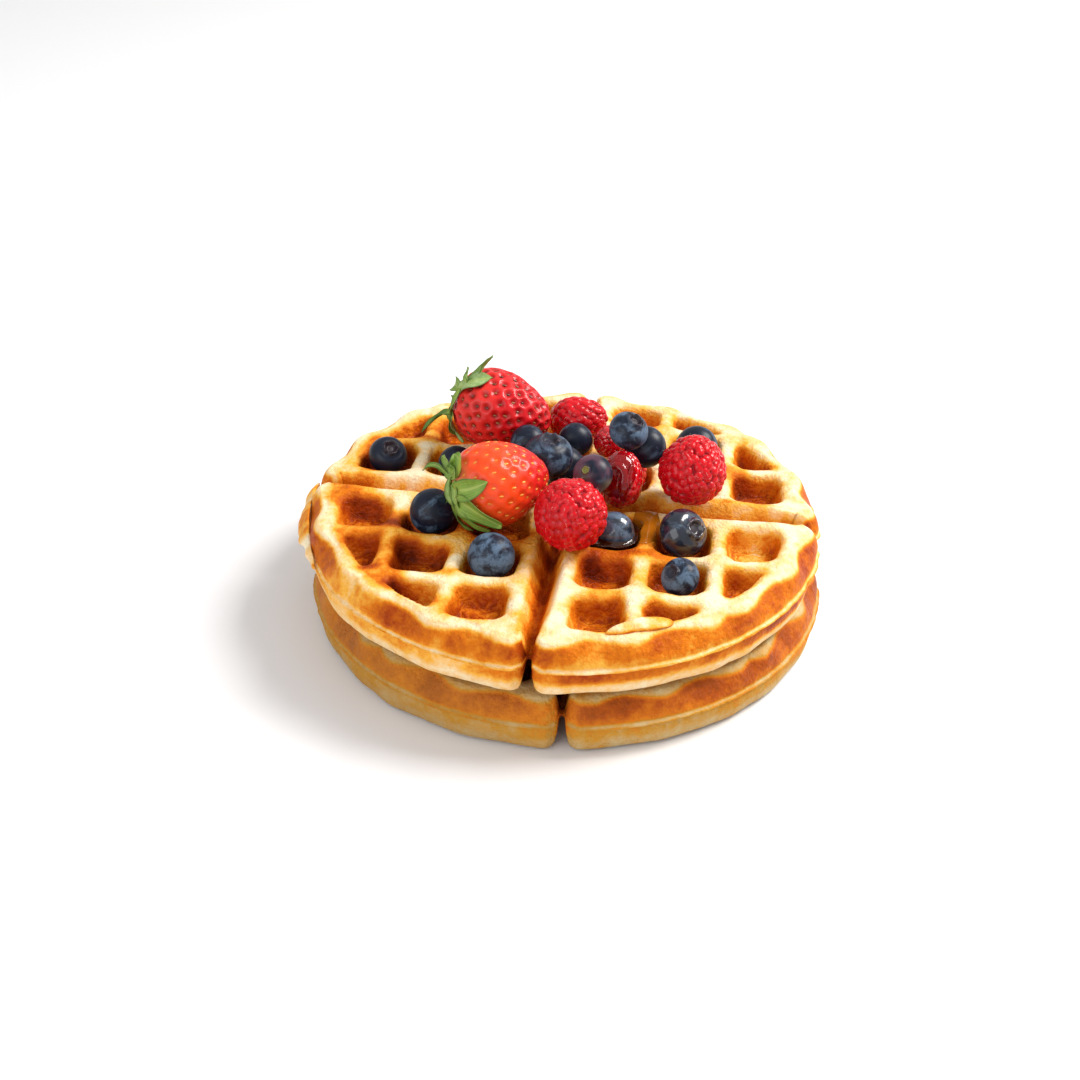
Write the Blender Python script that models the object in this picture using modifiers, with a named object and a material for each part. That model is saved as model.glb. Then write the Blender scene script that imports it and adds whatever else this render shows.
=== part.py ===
"""Two round quartered waffles, one on the other, under a heap of fresh berries.

The frame has +Z up, X and Y along the two main grooves of the upper waffle, and its
origin on the surface that the stack stands on, under the middle of the stack.
"""

import math

import bmesh
import bpy
import numpy as np
from mathutils import Matrix, Vector

MM = 0.001
GAP = 0.3 * MM

# The waffles, each measured from its own middle plane
RIM_RADIUS = 88.6 * MM
THICKNESS = 21.0 * MM
HALF_THICKNESS = THICKNESS / 2
PLATEAU_RADIUS = 82.5 * MM
PLATEAU_HOLLOW = 4.0 * MM
BUMP_WIDTH = math.radians(5.0)
RIM_SEGMENTS = 88

# The grid of pockets in each quarter
PITCH = 23.5 * MM
FIRST_POCKET = 18.6 * MM
POCKETS_ACROSS = 3
POCKET_DEPTH = 7.5 * MM
POCKET_WALL_RADIUS = 76.3 * MM
POCKET_WALL_TAPER = 2.6 * MM
POCKET_CORNER = 0.3
# Depth below the crust's top, and half the pocket's width there
POCKET_STEPS = (
    (-1.0 * MM, 9.9 * MM),
    (1.0 * MM, 8.2 * MM),
    (6.7 * MM, 6.9 * MM),
    (POCKET_DEPTH, 5.8 * MM),
)
PLAIN_POCKET_STEPS = ((-1.0 * MM, 8.9 * MM), (POCKET_DEPTH, 6.4 * MM))

# The grooves that part the quarters, and the slots at their ends
GROOVE_STEPS = ((-0.6 * MM, 5.9 * MM), (1.2 * MM, 4.4 * MM), (9.5 * MM, 1.0 * MM))
GROOVE_LENGTH = 190.0 * MM
SLOT_START = 84.0 * MM
SLOT_LENGTH = 12.0 * MM
SLOT_WIDTH = 2.0 * MM

# The upper crust falls away towards the back edge of the upper waffle
BACK_DROP = 3.2 * MM
BACK_DROP_START = 48.0 * MM
BACK_DROP_END = 84.0 * MM

# How the two waffles lie on each other
UPPER_PLACE = Vector((-0.75 * MM, 0.0, 1.5 * THICKNESS + GAP))
LOWER_PLACE = Vector((0.75 * MM, 0.0, HALF_THICKNESS))
LOWER_TURN = math.radians(6.5)
CRUST_TOP = UPPER_PLACE + Vector((0.0, 0.0, HALF_THICKNESS))

# Colours, with roughness
WAFFLE_GOLD = (0.70, 0.33, 0.09, 1.0)
WAFFLE_TAN = (0.58, 0.30, 0.10, 1.0)
STRAWBERRY_RED = (0.55, 0.012, 0.010, 1.0)
STRAWBERRY_CORAL = (0.80, 0.13, 0.04, 1.0)
LEAF_GREEN = (0.22, 0.35, 0.06, 1.0)
RASPBERRY_RED = (0.42, 0.006, 0.018, 1.0)
BLUEBERRY_BLUE = (0.045, 0.065, 0.11, 1.0)

# Strawberries: centre over the crust in mm, direction of the leafy end,
# radius and half length in mm, colour
STRAWBERRIES = {
    "strawberry_back": ((-26.5, 30.8, 14.1), (-1.0, 0.1, 0.2), 14.0, 18.0, STRAWBERRY_RED),
    "strawberry_front": ((-19.3, -18.6, 14.1), (-0.86, -0.42, -0.05), 14.3, 16.5, STRAWBERRY_CORAL),
}
STRAWBERRY_TAPER = 0.2
STRAWBERRY_DIMPLE = 1.6 * MM
STRAWBERRY_SEGMENTS = 18
STRAWBERRY_RINGS = 10

# Leafy crowns: length of each sepal and how far its tip lifts off the fruit, in mm
CALYXES = {
    "calyx_back": (
        "strawberry_back",
        ((11, 1.5), (14, 1.0), (17, 6.0), (9, 2.0), (8, 1.0), (7, 0.8), (12, 1.5)),
    ),
    "calyx_front": (
        "strawberry_front",
        ((16, 1.2), (13, 2.0), (10, 4.0), (8, 3.0), (7, 0.8), (6, 0.5), (12, 0.8)),
    ),
}
LEAF_THICKNESS = 0.8 * MM
LEAF_WAVE = 0.5 * MM

# Raspberries: centre over the crust in mm, direction of the apex,
# radius and half length in mm
RASPBERRIES = {
    "raspberry_1": ((5.9, -30.5, 11.9), (0.2, -0.55, 0.80), 11.8, 11.8),
    "raspberry_2": ((19.3, -1.6, 9.5), (0.05, 0.3, 0.95), 8.1, 10.2),
    "raspberry_3": ((43.0, 3.9, 12.3), (0.15, 0.0, 1.0), 12.2, 12.2),
    "raspberry_4": ((-0.6, 42.4, 7.0), (1.0, 0.0, 0.1), 9.0, 11.0),
    "raspberry_5": ((19.4, 18.4, 0.6), (0.1, 0.1, 1.0), 7.7, 7.9),
    "raspberry_6": ((12.4, 28.9, 6.7), (0.2, -0.3, 1.0), 6.2, 6.4),
}
RASPBERRY_TAPER = 0.14
RASPBERRY_BUMP = 0.05
RASPBERRY_SEGMENTS = 20
RASPBERRY_RINGS = 10

# Blueberries that sit in a pocket: column and row of the pocket, shift from its
# middle in mm, radius in mm, direction of the crown
POCKET_BLUEBERRIES = {
    "blueberry_01": ((-2, -1), (0.0, 0.0), 7.9, (-0.3, 0.9, -0.3)),
    "blueberry_02": ((-1, -2), (0.3, 0.0), 7.8, (0.2, 0.8, -0.5)),
    "blueberry_03": ((2, -2), (0.9, 0.0), 6.4, (-0.535, -0.537, 0.65)),
    "blueberry_04": ((2, -1), (0.0, 0.2), 8.3, (0.625, -0.459, 0.626)),
    "blueberry_05": ((1, -1), (0.8, 0.0), 6.6, (0.2, 0.9, -0.3)),
    "blueberry_06": ((-3, 1), (0.0, 0.0), 6.9, (0.31, -0.443, 0.839)),
    "blueberry_07": ((2, 2), (0.5, -0.6), 7.6, (0.1, 0.9, -0.2)),
    "blueberry_08": ((-2, 1), (1.4, -1.4), 6.4, (-0.2, 0.7, -0.6)),
}

# Blueberries of the heap: centre over the crust in mm, radius in mm,
# direction of the crown
HEAP_BLUEBERRIES = {
    "blueberry_09": ((-5.9, 1.0, 14.7), 8.5, (0.05, -0.1, 1.0)),
    "blueberry_10": ((-14.8, 14.0, 11.9), 6.2, (0.2, 0.7, -0.5)),
    "blueberry_11": ((0.2, 27.6, 6.7), 6.1, (-0.2, 0.8, -0.3)),
    "blueberry_12": ((11.0, -14.7, 18.2), 6.7, (-0.364, -0.68, 0.636)),
    "blueberry_13": ((20.4, 7.6, 23.3), 6.8, (0.401, -0.212, 0.89)),
    "blueberry_14": ((25.9, 14.8, 13.5), 7.3, (0.3, 0.8, -0.3)),
    "blueberry_15": ((-1.2, 11.0, 5.3), 7.0, (0.0, 0.8, -0.5)),
}
BLUEBERRY_HEIGHT = 0.88
BLUEBERRY_SEGMENTS = 12


def clear_scene():
    for obj in list(bpy.data.objects):
        bpy.data.objects.remove(obj, do_unlink=True)


def collection(name):
    made = bpy.data.collections.new(name)
    bpy.context.scene.collection.children.link(made)
    return made


def material(name, colour, roughness):
    made = bpy.data.materials.new(name)
    made.use_nodes = True
    shader = made.node_tree.nodes["Principled BSDF"]
    shader.inputs["Base Color"].default_value = colour
    shader.inputs["Roughness"].default_value = roughness
    shader.inputs["Metallic"].default_value = 0.0
    return made


def mesh_object(name, bm, group):
    """Puts a bmesh into a new object of the collection."""
    mesh = bpy.data.meshes.new(name)
    bmesh.ops.recalc_face_normals(bm, faces=bm.faces[:])
    bm.to_mesh(mesh)
    bm.free()
    obj = bpy.data.objects.new(name, mesh)
    group.objects.link(obj)
    return obj


def apply_modifiers(obj):
    """Replaces the object's mesh by the one that its modifiers make."""
    bpy.context.view_layer.update()
    graph = bpy.context.evaluated_depsgraph_get()
    made = bpy.data.meshes.new_from_object(obj.evaluated_get(graph))
    made.name = obj.name
    obj.modifiers.clear()
    obj.data = made


def turned(name, profile, steps, group):
    """Turns a profile of (radius, height) points, top to bottom, about Z."""
    mesh = bpy.data.meshes.new(name)
    points = [(radius, 0.0, height) for radius, height in profile]
    mesh.from_pydata(points, [(k, k + 1) for k in range(len(points) - 1)], [])
    obj = bpy.data.objects.new(name, mesh)
    group.objects.link(obj)
    screw = obj.modifiers.new("Turn", "SCREW")
    screw.axis = "Z"
    screw.angle = 2 * math.pi
    screw.steps = steps
    screw.render_steps = steps
    screw.use_merge_vertices = True
    screw.merge_threshold = 0.00001
    apply_modifiers(obj)
    return obj


def vertices_of(mesh):
    points = np.empty(len(mesh.vertices) * 3)
    mesh.vertices.foreach_get("co", points)
    return points.reshape(-1, 3)


def set_vertices(mesh, points):
    mesh.vertices.foreach_set("co", points.ravel())
    mesh.update()


def finish(obj, finish_material, location=None, direction=None):
    """Shades the piece, gives it its material, and points its +Z along direction."""
    obj.data.materials.clear()
    obj.data.materials.append(finish_material)
    obj.data.shade_smooth()
    obj.data.set_sharp_from_angle(angle=math.radians(50))
    if direction is not None:
        obj.rotation_euler = Vector(direction).to_track_quat("Z", "Y").to_euler()
    if location is not None:
        obj.location = location


def over_crust(place):
    """World place of a point given in mm over the middle of the upper crust."""
    return CRUST_TOP + Vector(place) * MM


def pocket_middle(index):
    """Distance of a pocket's middle from the groove, signed like its index."""
    distance = FIRST_POCKET + (abs(index) - 1) * PITCH
    return math.copysign(distance, index)


def pocket_indexes():
    """Column and row of each pocket: a square of nine in each quarter, less its outer corner."""
    across = [k for k in range(-POCKETS_ACROSS, POCKETS_ACROSS + 1) if k]
    return [
        (column, row)
        for column in across
        for row in across
        if min(abs(column), abs(row)) < POCKETS_ACROSS
    ]


def rim_hollow(angle):
    """0 where a rib runs out to the rim and 1 midway between, outside the outer pockets."""
    rib_lines = (FIRST_POCKET - PITCH / 2, FIRST_POCKET + PITCH / 2, FIRST_POCKET + 1.5 * PITCH)
    quarter = np.mod(angle, math.pi / 2)
    bump = np.zeros_like(quarter)
    for line in rib_lines:
        middle = math.asin(line / PLATEAU_RADIUS)
        for centre in (middle, math.pi / 2 - middle):
            bump = np.maximum(bump, np.exp(-(((quarter - centre) / BUMP_WIDTH) ** 2)))
    return 1.0 - bump


def waffle_blank(name, group):
    """The round blank: a rim that swells to a seam at mid height, with scalloped shoulders."""
    shoulders = (
        (PLATEAU_RADIUS, HALF_THICKNESS),
        (PLATEAU_RADIUS + 3.2 * MM, HALF_THICKNESS - 3.4 * MM),
        (RIM_RADIUS - 0.6 * MM, 1.6 * MM),
        (RIM_RADIUS, 0.0),
    )
    lower = [(radius, -height) for radius, height in shoulders[-2::-1]]
    obj = turned(name, list(shoulders) + lower, RIM_SEGMENTS, group)
    points = vertices_of(obj.data)
    radius = np.hypot(points[:, 0], points[:, 1])
    share = (np.abs(points[:, 2]) / HALF_THICKNESS) ** 1.5
    hollow = rim_hollow(np.arctan2(points[:, 1], points[:, 0])) * share * PLATEAU_HOLLOW
    points[:, :2] *= ((radius - hollow) / radius)[:, None]
    set_vertices(obj.data, points)
    bm = bmesh.new()
    bm.from_mesh(obj.data)
    bmesh.ops.holes_fill(bm, edges=bm.edges[:], sides=0)
    bmesh.ops.recalc_face_normals(bm, faces=bm.faces[:])
    bm.to_mesh(obj.data)
    bm.free()
    return obj


def loft(bm, rings):
    """Joins rings with the same number of points into a closed body with flat ends."""
    loops = [[bm.verts.new(point) for point in ring] for ring in rings]
    for ring, following in zip(loops, loops[1:]):
        for k in range(len(ring)):
            after = (k + 1) % len(ring)
            bm.faces.new((ring[k], ring[after], following[after], following[k]))
    bm.faces.new(loops[0][::-1])
    bm.faces.new(loops[-1])


def square_ring(middle, half, corner, height):
    """A square with cut corners, or a plain one where corner is 0."""
    if corner:
        inner = half * (1 - corner)
        points = [(half, -inner), (half, inner), (inner, half), (-inner, half)]
        points += [(-x, -y) for x, y in points]
    else:
        points = [(half, -half), (half, half), (-half, half), (-half, -half)]
    return [(middle[0] + x, middle[1] + y, height) for x, y in points]


def pocket_cutter(name, steps, corner, side, group):
    """All pockets of one side: tapered squares, with a round wall at the rim."""
    bm = bmesh.new()
    for column, row in pocket_indexes():
        middle = (pocket_middle(column), pocket_middle(row))
        rings = [
            square_ring(middle, half, corner, side * (HALF_THICKNESS - depth))
            for depth, half in steps
        ]
        loft(bm, rings)
    obj = mesh_object(name, bm, group)
    wall = bmesh.new()
    depth = POCKET_DEPTH + 4 * MM
    bmesh.ops.create_cone(
        wall,
        cap_ends=True,
        segments=RIM_SEGMENTS,
        radius1=POCKET_WALL_RADIUS - (side > 0) * POCKET_WALL_TAPER,
        radius2=POCKET_WALL_RADIUS - (side < 0) * POCKET_WALL_TAPER,
        depth=depth,
        matrix=Matrix.Translation((0, 0, side * (HALF_THICKNESS + 2 * MM - depth / 2))),
    )
    limit = mesh_object(name + "_wall", wall, group)
    cut = obj.modifiers.new("Round wall", "BOOLEAN")
    cut.operation = "INTERSECT"
    cut.object = limit
    return obj


def groove_cutter(name, turn, group):
    """One groove right across, on both sides of the waffle."""
    bm = bmesh.new()
    for side in (1, -1):
        half_section = [(half, side * (HALF_THICKNESS - depth)) for depth, half in GROOVE_STEPS]
        section = half_section + [(-half, height) for half, height in half_section[::-1]]
        ends = [
            [(x, half, height) for half, height in section]
            for x in (-GROOVE_LENGTH / 2, GROOVE_LENGTH / 2)
        ]
        loft(bm, ends)
    bmesh.ops.rotate(bm, verts=bm.verts[:], matrix=Matrix.Rotation(turn, 3, "Z"))
    return mesh_object(name, bm, group)


def slot_cutter(name, group):
    """Four narrow slots through the rim, where the grooves end."""
    bm = bmesh.new()
    for quarter in range(4):
        turn = Matrix.Rotation(quarter * math.pi / 2, 4, "Z")
        place = Matrix.Translation((SLOT_START + SLOT_LENGTH / 2, 0, 0))
        size = Matrix.Diagonal((SLOT_LENGTH, SLOT_WIDTH, 2 * THICKNESS, 1))
        bmesh.ops.create_cube(bm, size=1.0, matrix=turn @ place @ size)
    return mesh_object(name, bm, group)


def drop_back_edge(obj):
    """Thins the waffle towards its back edge: the higher a point, the further it drops."""
    points = vertices_of(obj.data)
    share = (points[:, 1] - BACK_DROP_START) / (BACK_DROP_END - BACK_DROP_START)
    share = np.clip(share, 0.0, 1.0)
    smooth = share * share * (3 - 2 * share)
    points[:, 2] -= BACK_DROP * smooth * (0.5 + points[:, 2] / THICKNESS)
    set_vertices(obj.data, points)


def waffle(name, cutters, group):
    obj = waffle_blank(name, group)
    for cutter in cutters:
        cut = obj.modifiers.new(cutter.name, "BOOLEAN")
        cut.operation = "DIFFERENCE"
        cut.object = cutter
    apply_modifiers(obj)
    return obj


def strawberry_outline(angle, radius, half_length):
    """Distance from the axis and height along it, at an angle from the leafy +Z end."""
    swell = np.sin(angle) * (1 + STRAWBERRY_TAPER * np.cos(angle))
    dimple = STRAWBERRY_DIMPLE * np.exp(-((angle / 0.35) ** 2))
    return radius * swell, half_length * np.cos(angle) - dimple


def strawberry_profile(radius, half_length):
    """An egg that tapers to its tip, with a dimple under the leaves."""
    angle = np.linspace(0, math.pi, STRAWBERRY_RINGS + 1)
    across, along = strawberry_outline(angle, radius, half_length)
    across[[0, -1]] = 0.0
    return list(zip(across.tolist(), along.tolist()))


def leaf_point(arc, rise, turn, radius, half_length):
    """A point at an arc's length down the fruit's shoulder, standing off its skin by rise."""
    angle = arc / radius
    step = 0.01
    across, along = strawberry_outline(np.array([angle, angle + step]), radius, half_length)
    slope = Vector((across[1] - across[0], along[1] - along[0])).normalized()
    out = across[0] - slope.y * rise
    return (out * math.cos(turn), out * math.sin(turn), along[0] + slope.x * rise)


def calyx(name, radius, half_length, sepals, group):
    """A star of pointed sepals that follows the fruit's shoulder and lifts at its tips."""
    shares = (-0.5, -0.3, -0.12, 0.0, 0.12, 0.3)
    reaches = (0.26, 0.58, 0.88, 1.0, 0.88, 0.58)
    rings = 3
    spokes = len(sepals) * len(shares)
    stand_off = GAP + LEAF_THICKNESS
    bm = bmesh.new()
    middle = bm.verts.new(leaf_point(0.0, stand_off, 0.0, radius, half_length))
    loops = []
    for ring in range(1, rings + 1):
        loop = []
        for spoke in range(spokes):
            sepal, sample = divmod(spoke, len(shares))
            length, lift = (value * MM for value in sepals[sepal])
            turn = 2 * math.pi * (sepal + shares[sample]) / len(sepals)
            arc = length * reaches[sample] * ring / rings
            wave = LEAF_WAVE * (1 + math.cos(3 * turn + 2 * ring)) * ring / rings
            rise = stand_off + wave + lift * (arc / length) ** 2
            loop.append(bm.verts.new(leaf_point(arc, rise, turn, radius, half_length)))
        loops.append(loop)
    for k in range(spokes):
        after = (k + 1) % spokes
        bm.faces.new((middle, loops[0][k], loops[0][after]))
        for ring, following in zip(loops, loops[1:]):
            bm.faces.new((ring[k], following[k], following[after]))
            bm.faces.new((ring[k], following[after], ring[after]))
    obj = mesh_object(name, bm, group)
    solid = obj.modifiers.new("Leaf thickness", "SOLIDIFY")
    solid.thickness = LEAF_THICKNESS
    solid.offset = 0.0
    return obj


def raspberry(name, radius, half_length, group):
    """A ball that narrows to its apex, with every other point of its net pushed out."""
    bm = bmesh.new()
    bmesh.ops.create_uvsphere(
        bm, u_segments=RASPBERRY_SEGMENTS, v_segments=RASPBERRY_RINGS, radius=1.0
    )
    obj = mesh_object(name, bm, group)
    points = vertices_of(obj.data)
    polar = np.arccos(np.clip(points[:, 2], -1, 1))
    turn = np.arctan2(points[:, 1], points[:, 0])
    column = np.rint(turn / (2 * math.pi / RASPBERRY_SEGMENTS)).astype(int)
    row = np.rint(polar / (math.pi / RASPBERRY_RINGS)).astype(int)
    bump = np.where((column + row) % 2 == 0, 0.0, -2 * RASPBERRY_BUMP)
    bump[np.sin(polar) < 0.01] = -RASPBERRY_BUMP
    narrow = 1 - RASPBERRY_TAPER * (points[:, 2] + 1) / 2
    across = radius * (1 + bump) * narrow
    points[:, 0] *= across
    points[:, 1] *= across
    points[:, 2] *= half_length * (1 + bump)
    set_vertices(obj.data, points)
    return obj


def blueberry_profile(radius):
    """A flattened ball with a raised ring round the small hollow of its crown."""
    crown = [(0.0, 0.73), (0.25, 0.75), (0.37, 0.87), (0.47, 0.78)]
    sides = [
        (math.cos(angle), BLUEBERRY_HEIGHT * math.sin(angle))
        for angle in np.radians((34.0, 2.0, -30.0, -62.0))
    ]
    outline = crown + sides + [(0.0, -BLUEBERRY_HEIGHT)]
    return [(radius * across, radius * along) for across, along in outline]


def resting_height(radius, direction):
    """Height of a pocket blueberry's middle over the crust, where its skin meets the floor."""
    along = Vector(direction).normalized().z
    down = radius * math.hypot(BLUEBERRY_HEIGHT * along, math.sqrt(1 - along * along))
    return down + GAP - POCKET_DEPTH


def make_waffles(parts, cutters):
    round_top = pocket_cutter("pockets_round_top", POCKET_STEPS, POCKET_CORNER, 1, cutters)
    plain_top = pocket_cutter("pockets_plain_top", PLAIN_POCKET_STEPS, 0, 1, cutters)
    underside = pocket_cutter("pockets_underside", PLAIN_POCKET_STEPS, 0, -1, cutters)
    shared = [
        underside,
        groove_cutter("groove_along_x", 0.0, cutters),
        groove_cutter("groove_along_y", math.pi / 2, cutters),
        slot_cutter("rim_slots", cutters),
    ]
    upper = waffle("waffle_top", [round_top] + shared, parts)
    drop_back_edge(upper)
    finish(upper, material("golden crust", WAFFLE_GOLD, 0.55), UPPER_PLACE)
    lower = waffle("waffle_bottom", [plain_top] + shared, parts)
    finish(lower, material("tan crust", WAFFLE_TAN, 0.6), LOWER_PLACE)
    lower.rotation_euler = (0.0, 0.0, LOWER_TURN)


def make_strawberries(parts):
    leaf = material("leaf green", LEAF_GREEN, 0.6)
    for name, (place, direction, radius, half_length, colour) in STRAWBERRIES.items():
        profile = strawberry_profile(radius * MM, half_length * MM)
        fruit = turned(name, profile, STRAWBERRY_SEGMENTS, parts)
        finish(fruit, material(name, colour, 0.3), over_crust(place), direction)
    for name, (fruit_name, sepals) in CALYXES.items():
        place, direction, radius, half_length, _ = STRAWBERRIES[fruit_name]
        star = calyx(name, radius * MM, half_length * MM, sepals, parts)
        finish(star, leaf, over_crust(place), direction)


def make_raspberries(parts):
    skin = material("raspberry red", RASPBERRY_RED, 0.4)
    for name, (place, direction, radius, half_length) in RASPBERRIES.items():
        berry = raspberry(name, radius * MM, half_length * MM, parts)
        finish(berry, skin, over_crust(place), direction)


def make_blueberries(parts):
    skin = material("blueberry bloom", BLUEBERRY_BLUE, 0.45)
    berries = dict(HEAP_BLUEBERRIES)
    for name, ((column, row), shift, radius, direction) in POCKET_BLUEBERRIES.items():
        x = pocket_middle(column) / MM + shift[0]
        y = pocket_middle(row) / MM + shift[1]
        height = resting_height(radius * MM, direction) / MM
        berries[name] = ((x, y, height), radius, direction)
    for name, (place, radius, direction) in berries.items():
        berry = turned(name, blueberry_profile(radius * MM), BLUEBERRY_SEGMENTS, parts)
        finish(berry, skin, over_crust(place), direction)


def main():
    clear_scene()
    parts = collection("Waffle stack with berries")
    cutters = collection("Cutters")
    make_waffles(parts, cutters)
    make_strawberries(parts)
    make_raspberries(parts)
    make_blueberries(parts)
    for cutter in cutters.objects:
        cutter.hide_render = True
        cutter.display_type = "WIRE"


main()
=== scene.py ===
"""Dresses the waffle stack: crisp crusts, fresh berries with their leaves, and syrup.

Lengths in the functions are millimetres, and places are given over the middle of the
upper crust: X and Y along its main grooves, Z up from the tops of its ribs.
"""

import math

import bpy
import numpy as np
from mathutils import Matrix


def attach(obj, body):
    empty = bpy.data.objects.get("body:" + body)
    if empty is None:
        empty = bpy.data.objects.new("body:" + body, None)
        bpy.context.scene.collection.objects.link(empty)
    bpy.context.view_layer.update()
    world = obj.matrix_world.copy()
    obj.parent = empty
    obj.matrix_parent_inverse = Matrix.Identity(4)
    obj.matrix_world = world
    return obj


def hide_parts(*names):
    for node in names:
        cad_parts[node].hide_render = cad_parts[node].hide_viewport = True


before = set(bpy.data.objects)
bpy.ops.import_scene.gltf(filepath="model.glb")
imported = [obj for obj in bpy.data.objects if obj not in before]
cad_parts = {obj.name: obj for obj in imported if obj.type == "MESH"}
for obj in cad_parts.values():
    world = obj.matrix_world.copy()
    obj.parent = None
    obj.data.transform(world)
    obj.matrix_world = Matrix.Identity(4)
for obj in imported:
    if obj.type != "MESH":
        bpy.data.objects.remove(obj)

bl_info = {
    "name": "Waffle stack with berries",
    "version": (1, 0, 0),
    "blender": (4, 5, 0),
    "location": "3D View > Sidebar > Waffles",
    "description": "Builds two grid waffles under fresh berries and syrup",
    "category": "Add Mesh",
}

MM = 0.001

# Angle from a pole at which the pole's own point is taken
NEAR_POLE = 1e-4

# How the two waffles lie, as in the frame
THICKNESS = 21.0
CRUST_GAP = 0.3
UPPER_SHIFT = -0.75
LOWER_SHIFT = 0.75
LOWER_TURN = math.radians(6.5)
CRUST_TOP = 2 * THICKNESS + CRUST_GAP
CRUST_MIDDLE = np.array([UPPER_SHIFT, 0.0, CRUST_TOP])

# Pockets: middle of the first from a main groove, step to the next, half width of a
# mouth, radius of its corners, and radius of the outer pockets' round wall
FIRST_POCKET = 18.6
PITCH = 23.5
POCKET_HALF = 9.35
POCKET_CORNER = 4.2
POCKET_WALL_RADIUS = 78.0

# The rim, from the edge of the round face outwards: that edge, the crest of the upper
# half and how far it is hollowed, the crest of the lower half, and the outermost radius.
# Its noise and its grooves are measured along a circle of RIM_MIDDLE.
DISC_RADIUS = 79.6
PLATEAU_RADIUS = 83.4
PLATEAU_HOLLOW = 3.2
LOWER_CREST_RADIUS = 85.6
RIM_RADIUS = 88.4
RIM_MIDDLE = 84.0
LEDGE_HEIGHT = 1.65

# The upper waffle's back edge sinks by BACK_DROP between these two distances
BACK_DROP = 3.2
BACK_DROP_START = 48.0
BACK_DROP_END = 84.0

# Seeds of the noise on each waffle
UPPER_SEED = 7
LOWER_SEED = 23

# Seeds of the fruit's random draws, each raised by one from a fruit to the next
STRAWBERRY_SEED = 40
STRAWBERRY_SEEDS_SEED = 50
RASPBERRY_SEED = 60
HAIR_SEED = 80
SHARE_OF_HAIRS = 0.55

# Leaves, in mm but for the first, which multiplies the widths given below
LEAF_BROADENING = 1.4
LEAF_LIFT = 0.6
LEAF_THICKNESS = 0.28

# Pockets of the upper waffle that baked darker or paler than the rest, by column and row
UPPER_TONES = {
    (-3, -1): -0.26,
    (-3, -2): -0.18,
    (-2, -2): 0.10,
    (-2, -3): -0.04,
    (-1, -3): 0.06,
    (1, -2): 0.12,
    (1, -3): 0.05,
    (2, -3): -0.02,
    (3, -2): -0.08,
    (3, -1): -0.24,
    (3, 1): -0.02,
    (3, 2): -0.02,
    (-3, 1): -0.02,
}

# Browned spots on its ribs: place, half length, half width, strength
UPPER_SPOTS = (
    (-56.2, -52.1, 3.8, 1.9, 0.42),
    (-31.5, -50.9, 5.0, 3.6, 0.45),
    (-54.9, -26.0, 7.0, 3.2, 0.28),
    (-52.9, 33.3, 5.0, 3.0, 0.45),
    (-32.5, -67.0, 3.0, 3.4, 0.22),
    (-32.0, -20.0, 13.0, 11.0, 0.20),
    (-18.0, -30.4, 13.0, 3.2, 0.22),
    (17.5, -54.0, 9.0, 2.5, 0.22),
    (34.2, -30.5, 12.0, 2.6, 0.24),
    (30.4, -12.0, 2.6, 10.0, 0.20),
    (17.0, -30.4, 9.0, 2.2, 0.26),
    (-66.0, 8.0, 8.0, 2.5, 0.20),
    (60.0, 6.5, 14.0, 2.0, 0.24),
)

# Direction of each blueberry's crown, how much bloom it keeps, and its finish
BLUEBERRIES = {
    "blueberry_01": ((-0.3, 0.9, -0.3), 0.5, "dry"),
    "blueberry_02": ((0.2, 0.8, -0.5), 0.75, "dry"),
    "blueberry_03": ((-0.535, -0.537, 0.65), 0.70, "dry"),
    "blueberry_04": ((0.625, -0.459, 0.626), 0.45, "wet"),
    "blueberry_05": ((0.2, 0.9, -0.3), 0.75, "wet"),
    "blueberry_06": ((0.31, -0.443, 0.839), 0.10, "dry"),
    "blueberry_07": ((0.1, 0.9, -0.2), 0.45, "dry"),
    "blueberry_08": ((-0.2, 0.7, -0.6), 0.40, "dry"),
    "blueberry_09": ((0.05, -0.1, 1.0), 0.60, "dry"),
    "blueberry_10": ((0.2, 0.7, -0.5), 0.50, "dry"),
    "blueberry_11": ((-0.2, 0.8, -0.3), 0.40, "dry"),
    "blueberry_12": ((-0.364, -0.68, 0.636), 0.22, "unripe"),
    "blueberry_13": ((0.401, -0.212, 0.89), 0.65, "dry"),
    "blueberry_14": ((0.3, 0.8, -0.3), 0.35, "dry"),
    "blueberry_15": ((0.0, 0.8, -0.5), 0.20, "dry"),
}

# Direction of each raspberry's apex, its count of drupelets, its finish and its swell
RASPBERRIES = {
    "raspberry_1": ((0.2, -0.55, 0.80), 190, "dry", 1.09),
    "raspberry_2": ((0.05, 0.3, 0.95), 120, "wet", 1.0),
    "raspberry_3": ((0.15, 0.0, 1.0), 200, "dry", 1.03),
    "raspberry_4": ((1.0, 0.0, 0.1), 130, "dry", 1.0),
    "raspberry_5": ((0.1, 0.1, 1.0), 90, "dry", 1.0),
    "raspberry_6": ((0.2, -0.3, 1.0), 70, "wet", 1.0),
}

# Direction of each strawberry's leafy end, its count of seeds, and its colours
STRAWBERRIES = {
    "strawberry_back": ((-1.0, 0.1, 0.2), 190, "red"),
    "strawberry_front": ((-0.86, -0.42, -0.05), 170, "coral"),
}

# Name of each syrup's material, its colour, and how opaque it is
SYRUPS = (
    ("pooled syrup", (0.045, 0.012, 0.003), 0.92),
    ("thin syrup", (0.62, 0.19, 0.008), 0.8),
    ("syrup on raspberry", (0.34, 0.001, 0.003), 0.8),
)

# Syrup in a pocket: reach from its middle, and level
POOL_REACH = 8.6
POOL_LEVEL = -2.3

# Wet patch on a rib: its middle, its reach along X and Y, its thickness and its seed
WET_PATCH = ((29.6, -12.0), 4.3, 12.5, 0.6, 4)

# Syrup on raspberry_2: the way it faces, its angle, its thickness and its waves' phase
GLAZE = ((-0.10, -0.80, 0.55), 0.95, 0.9, 2.0)

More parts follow.
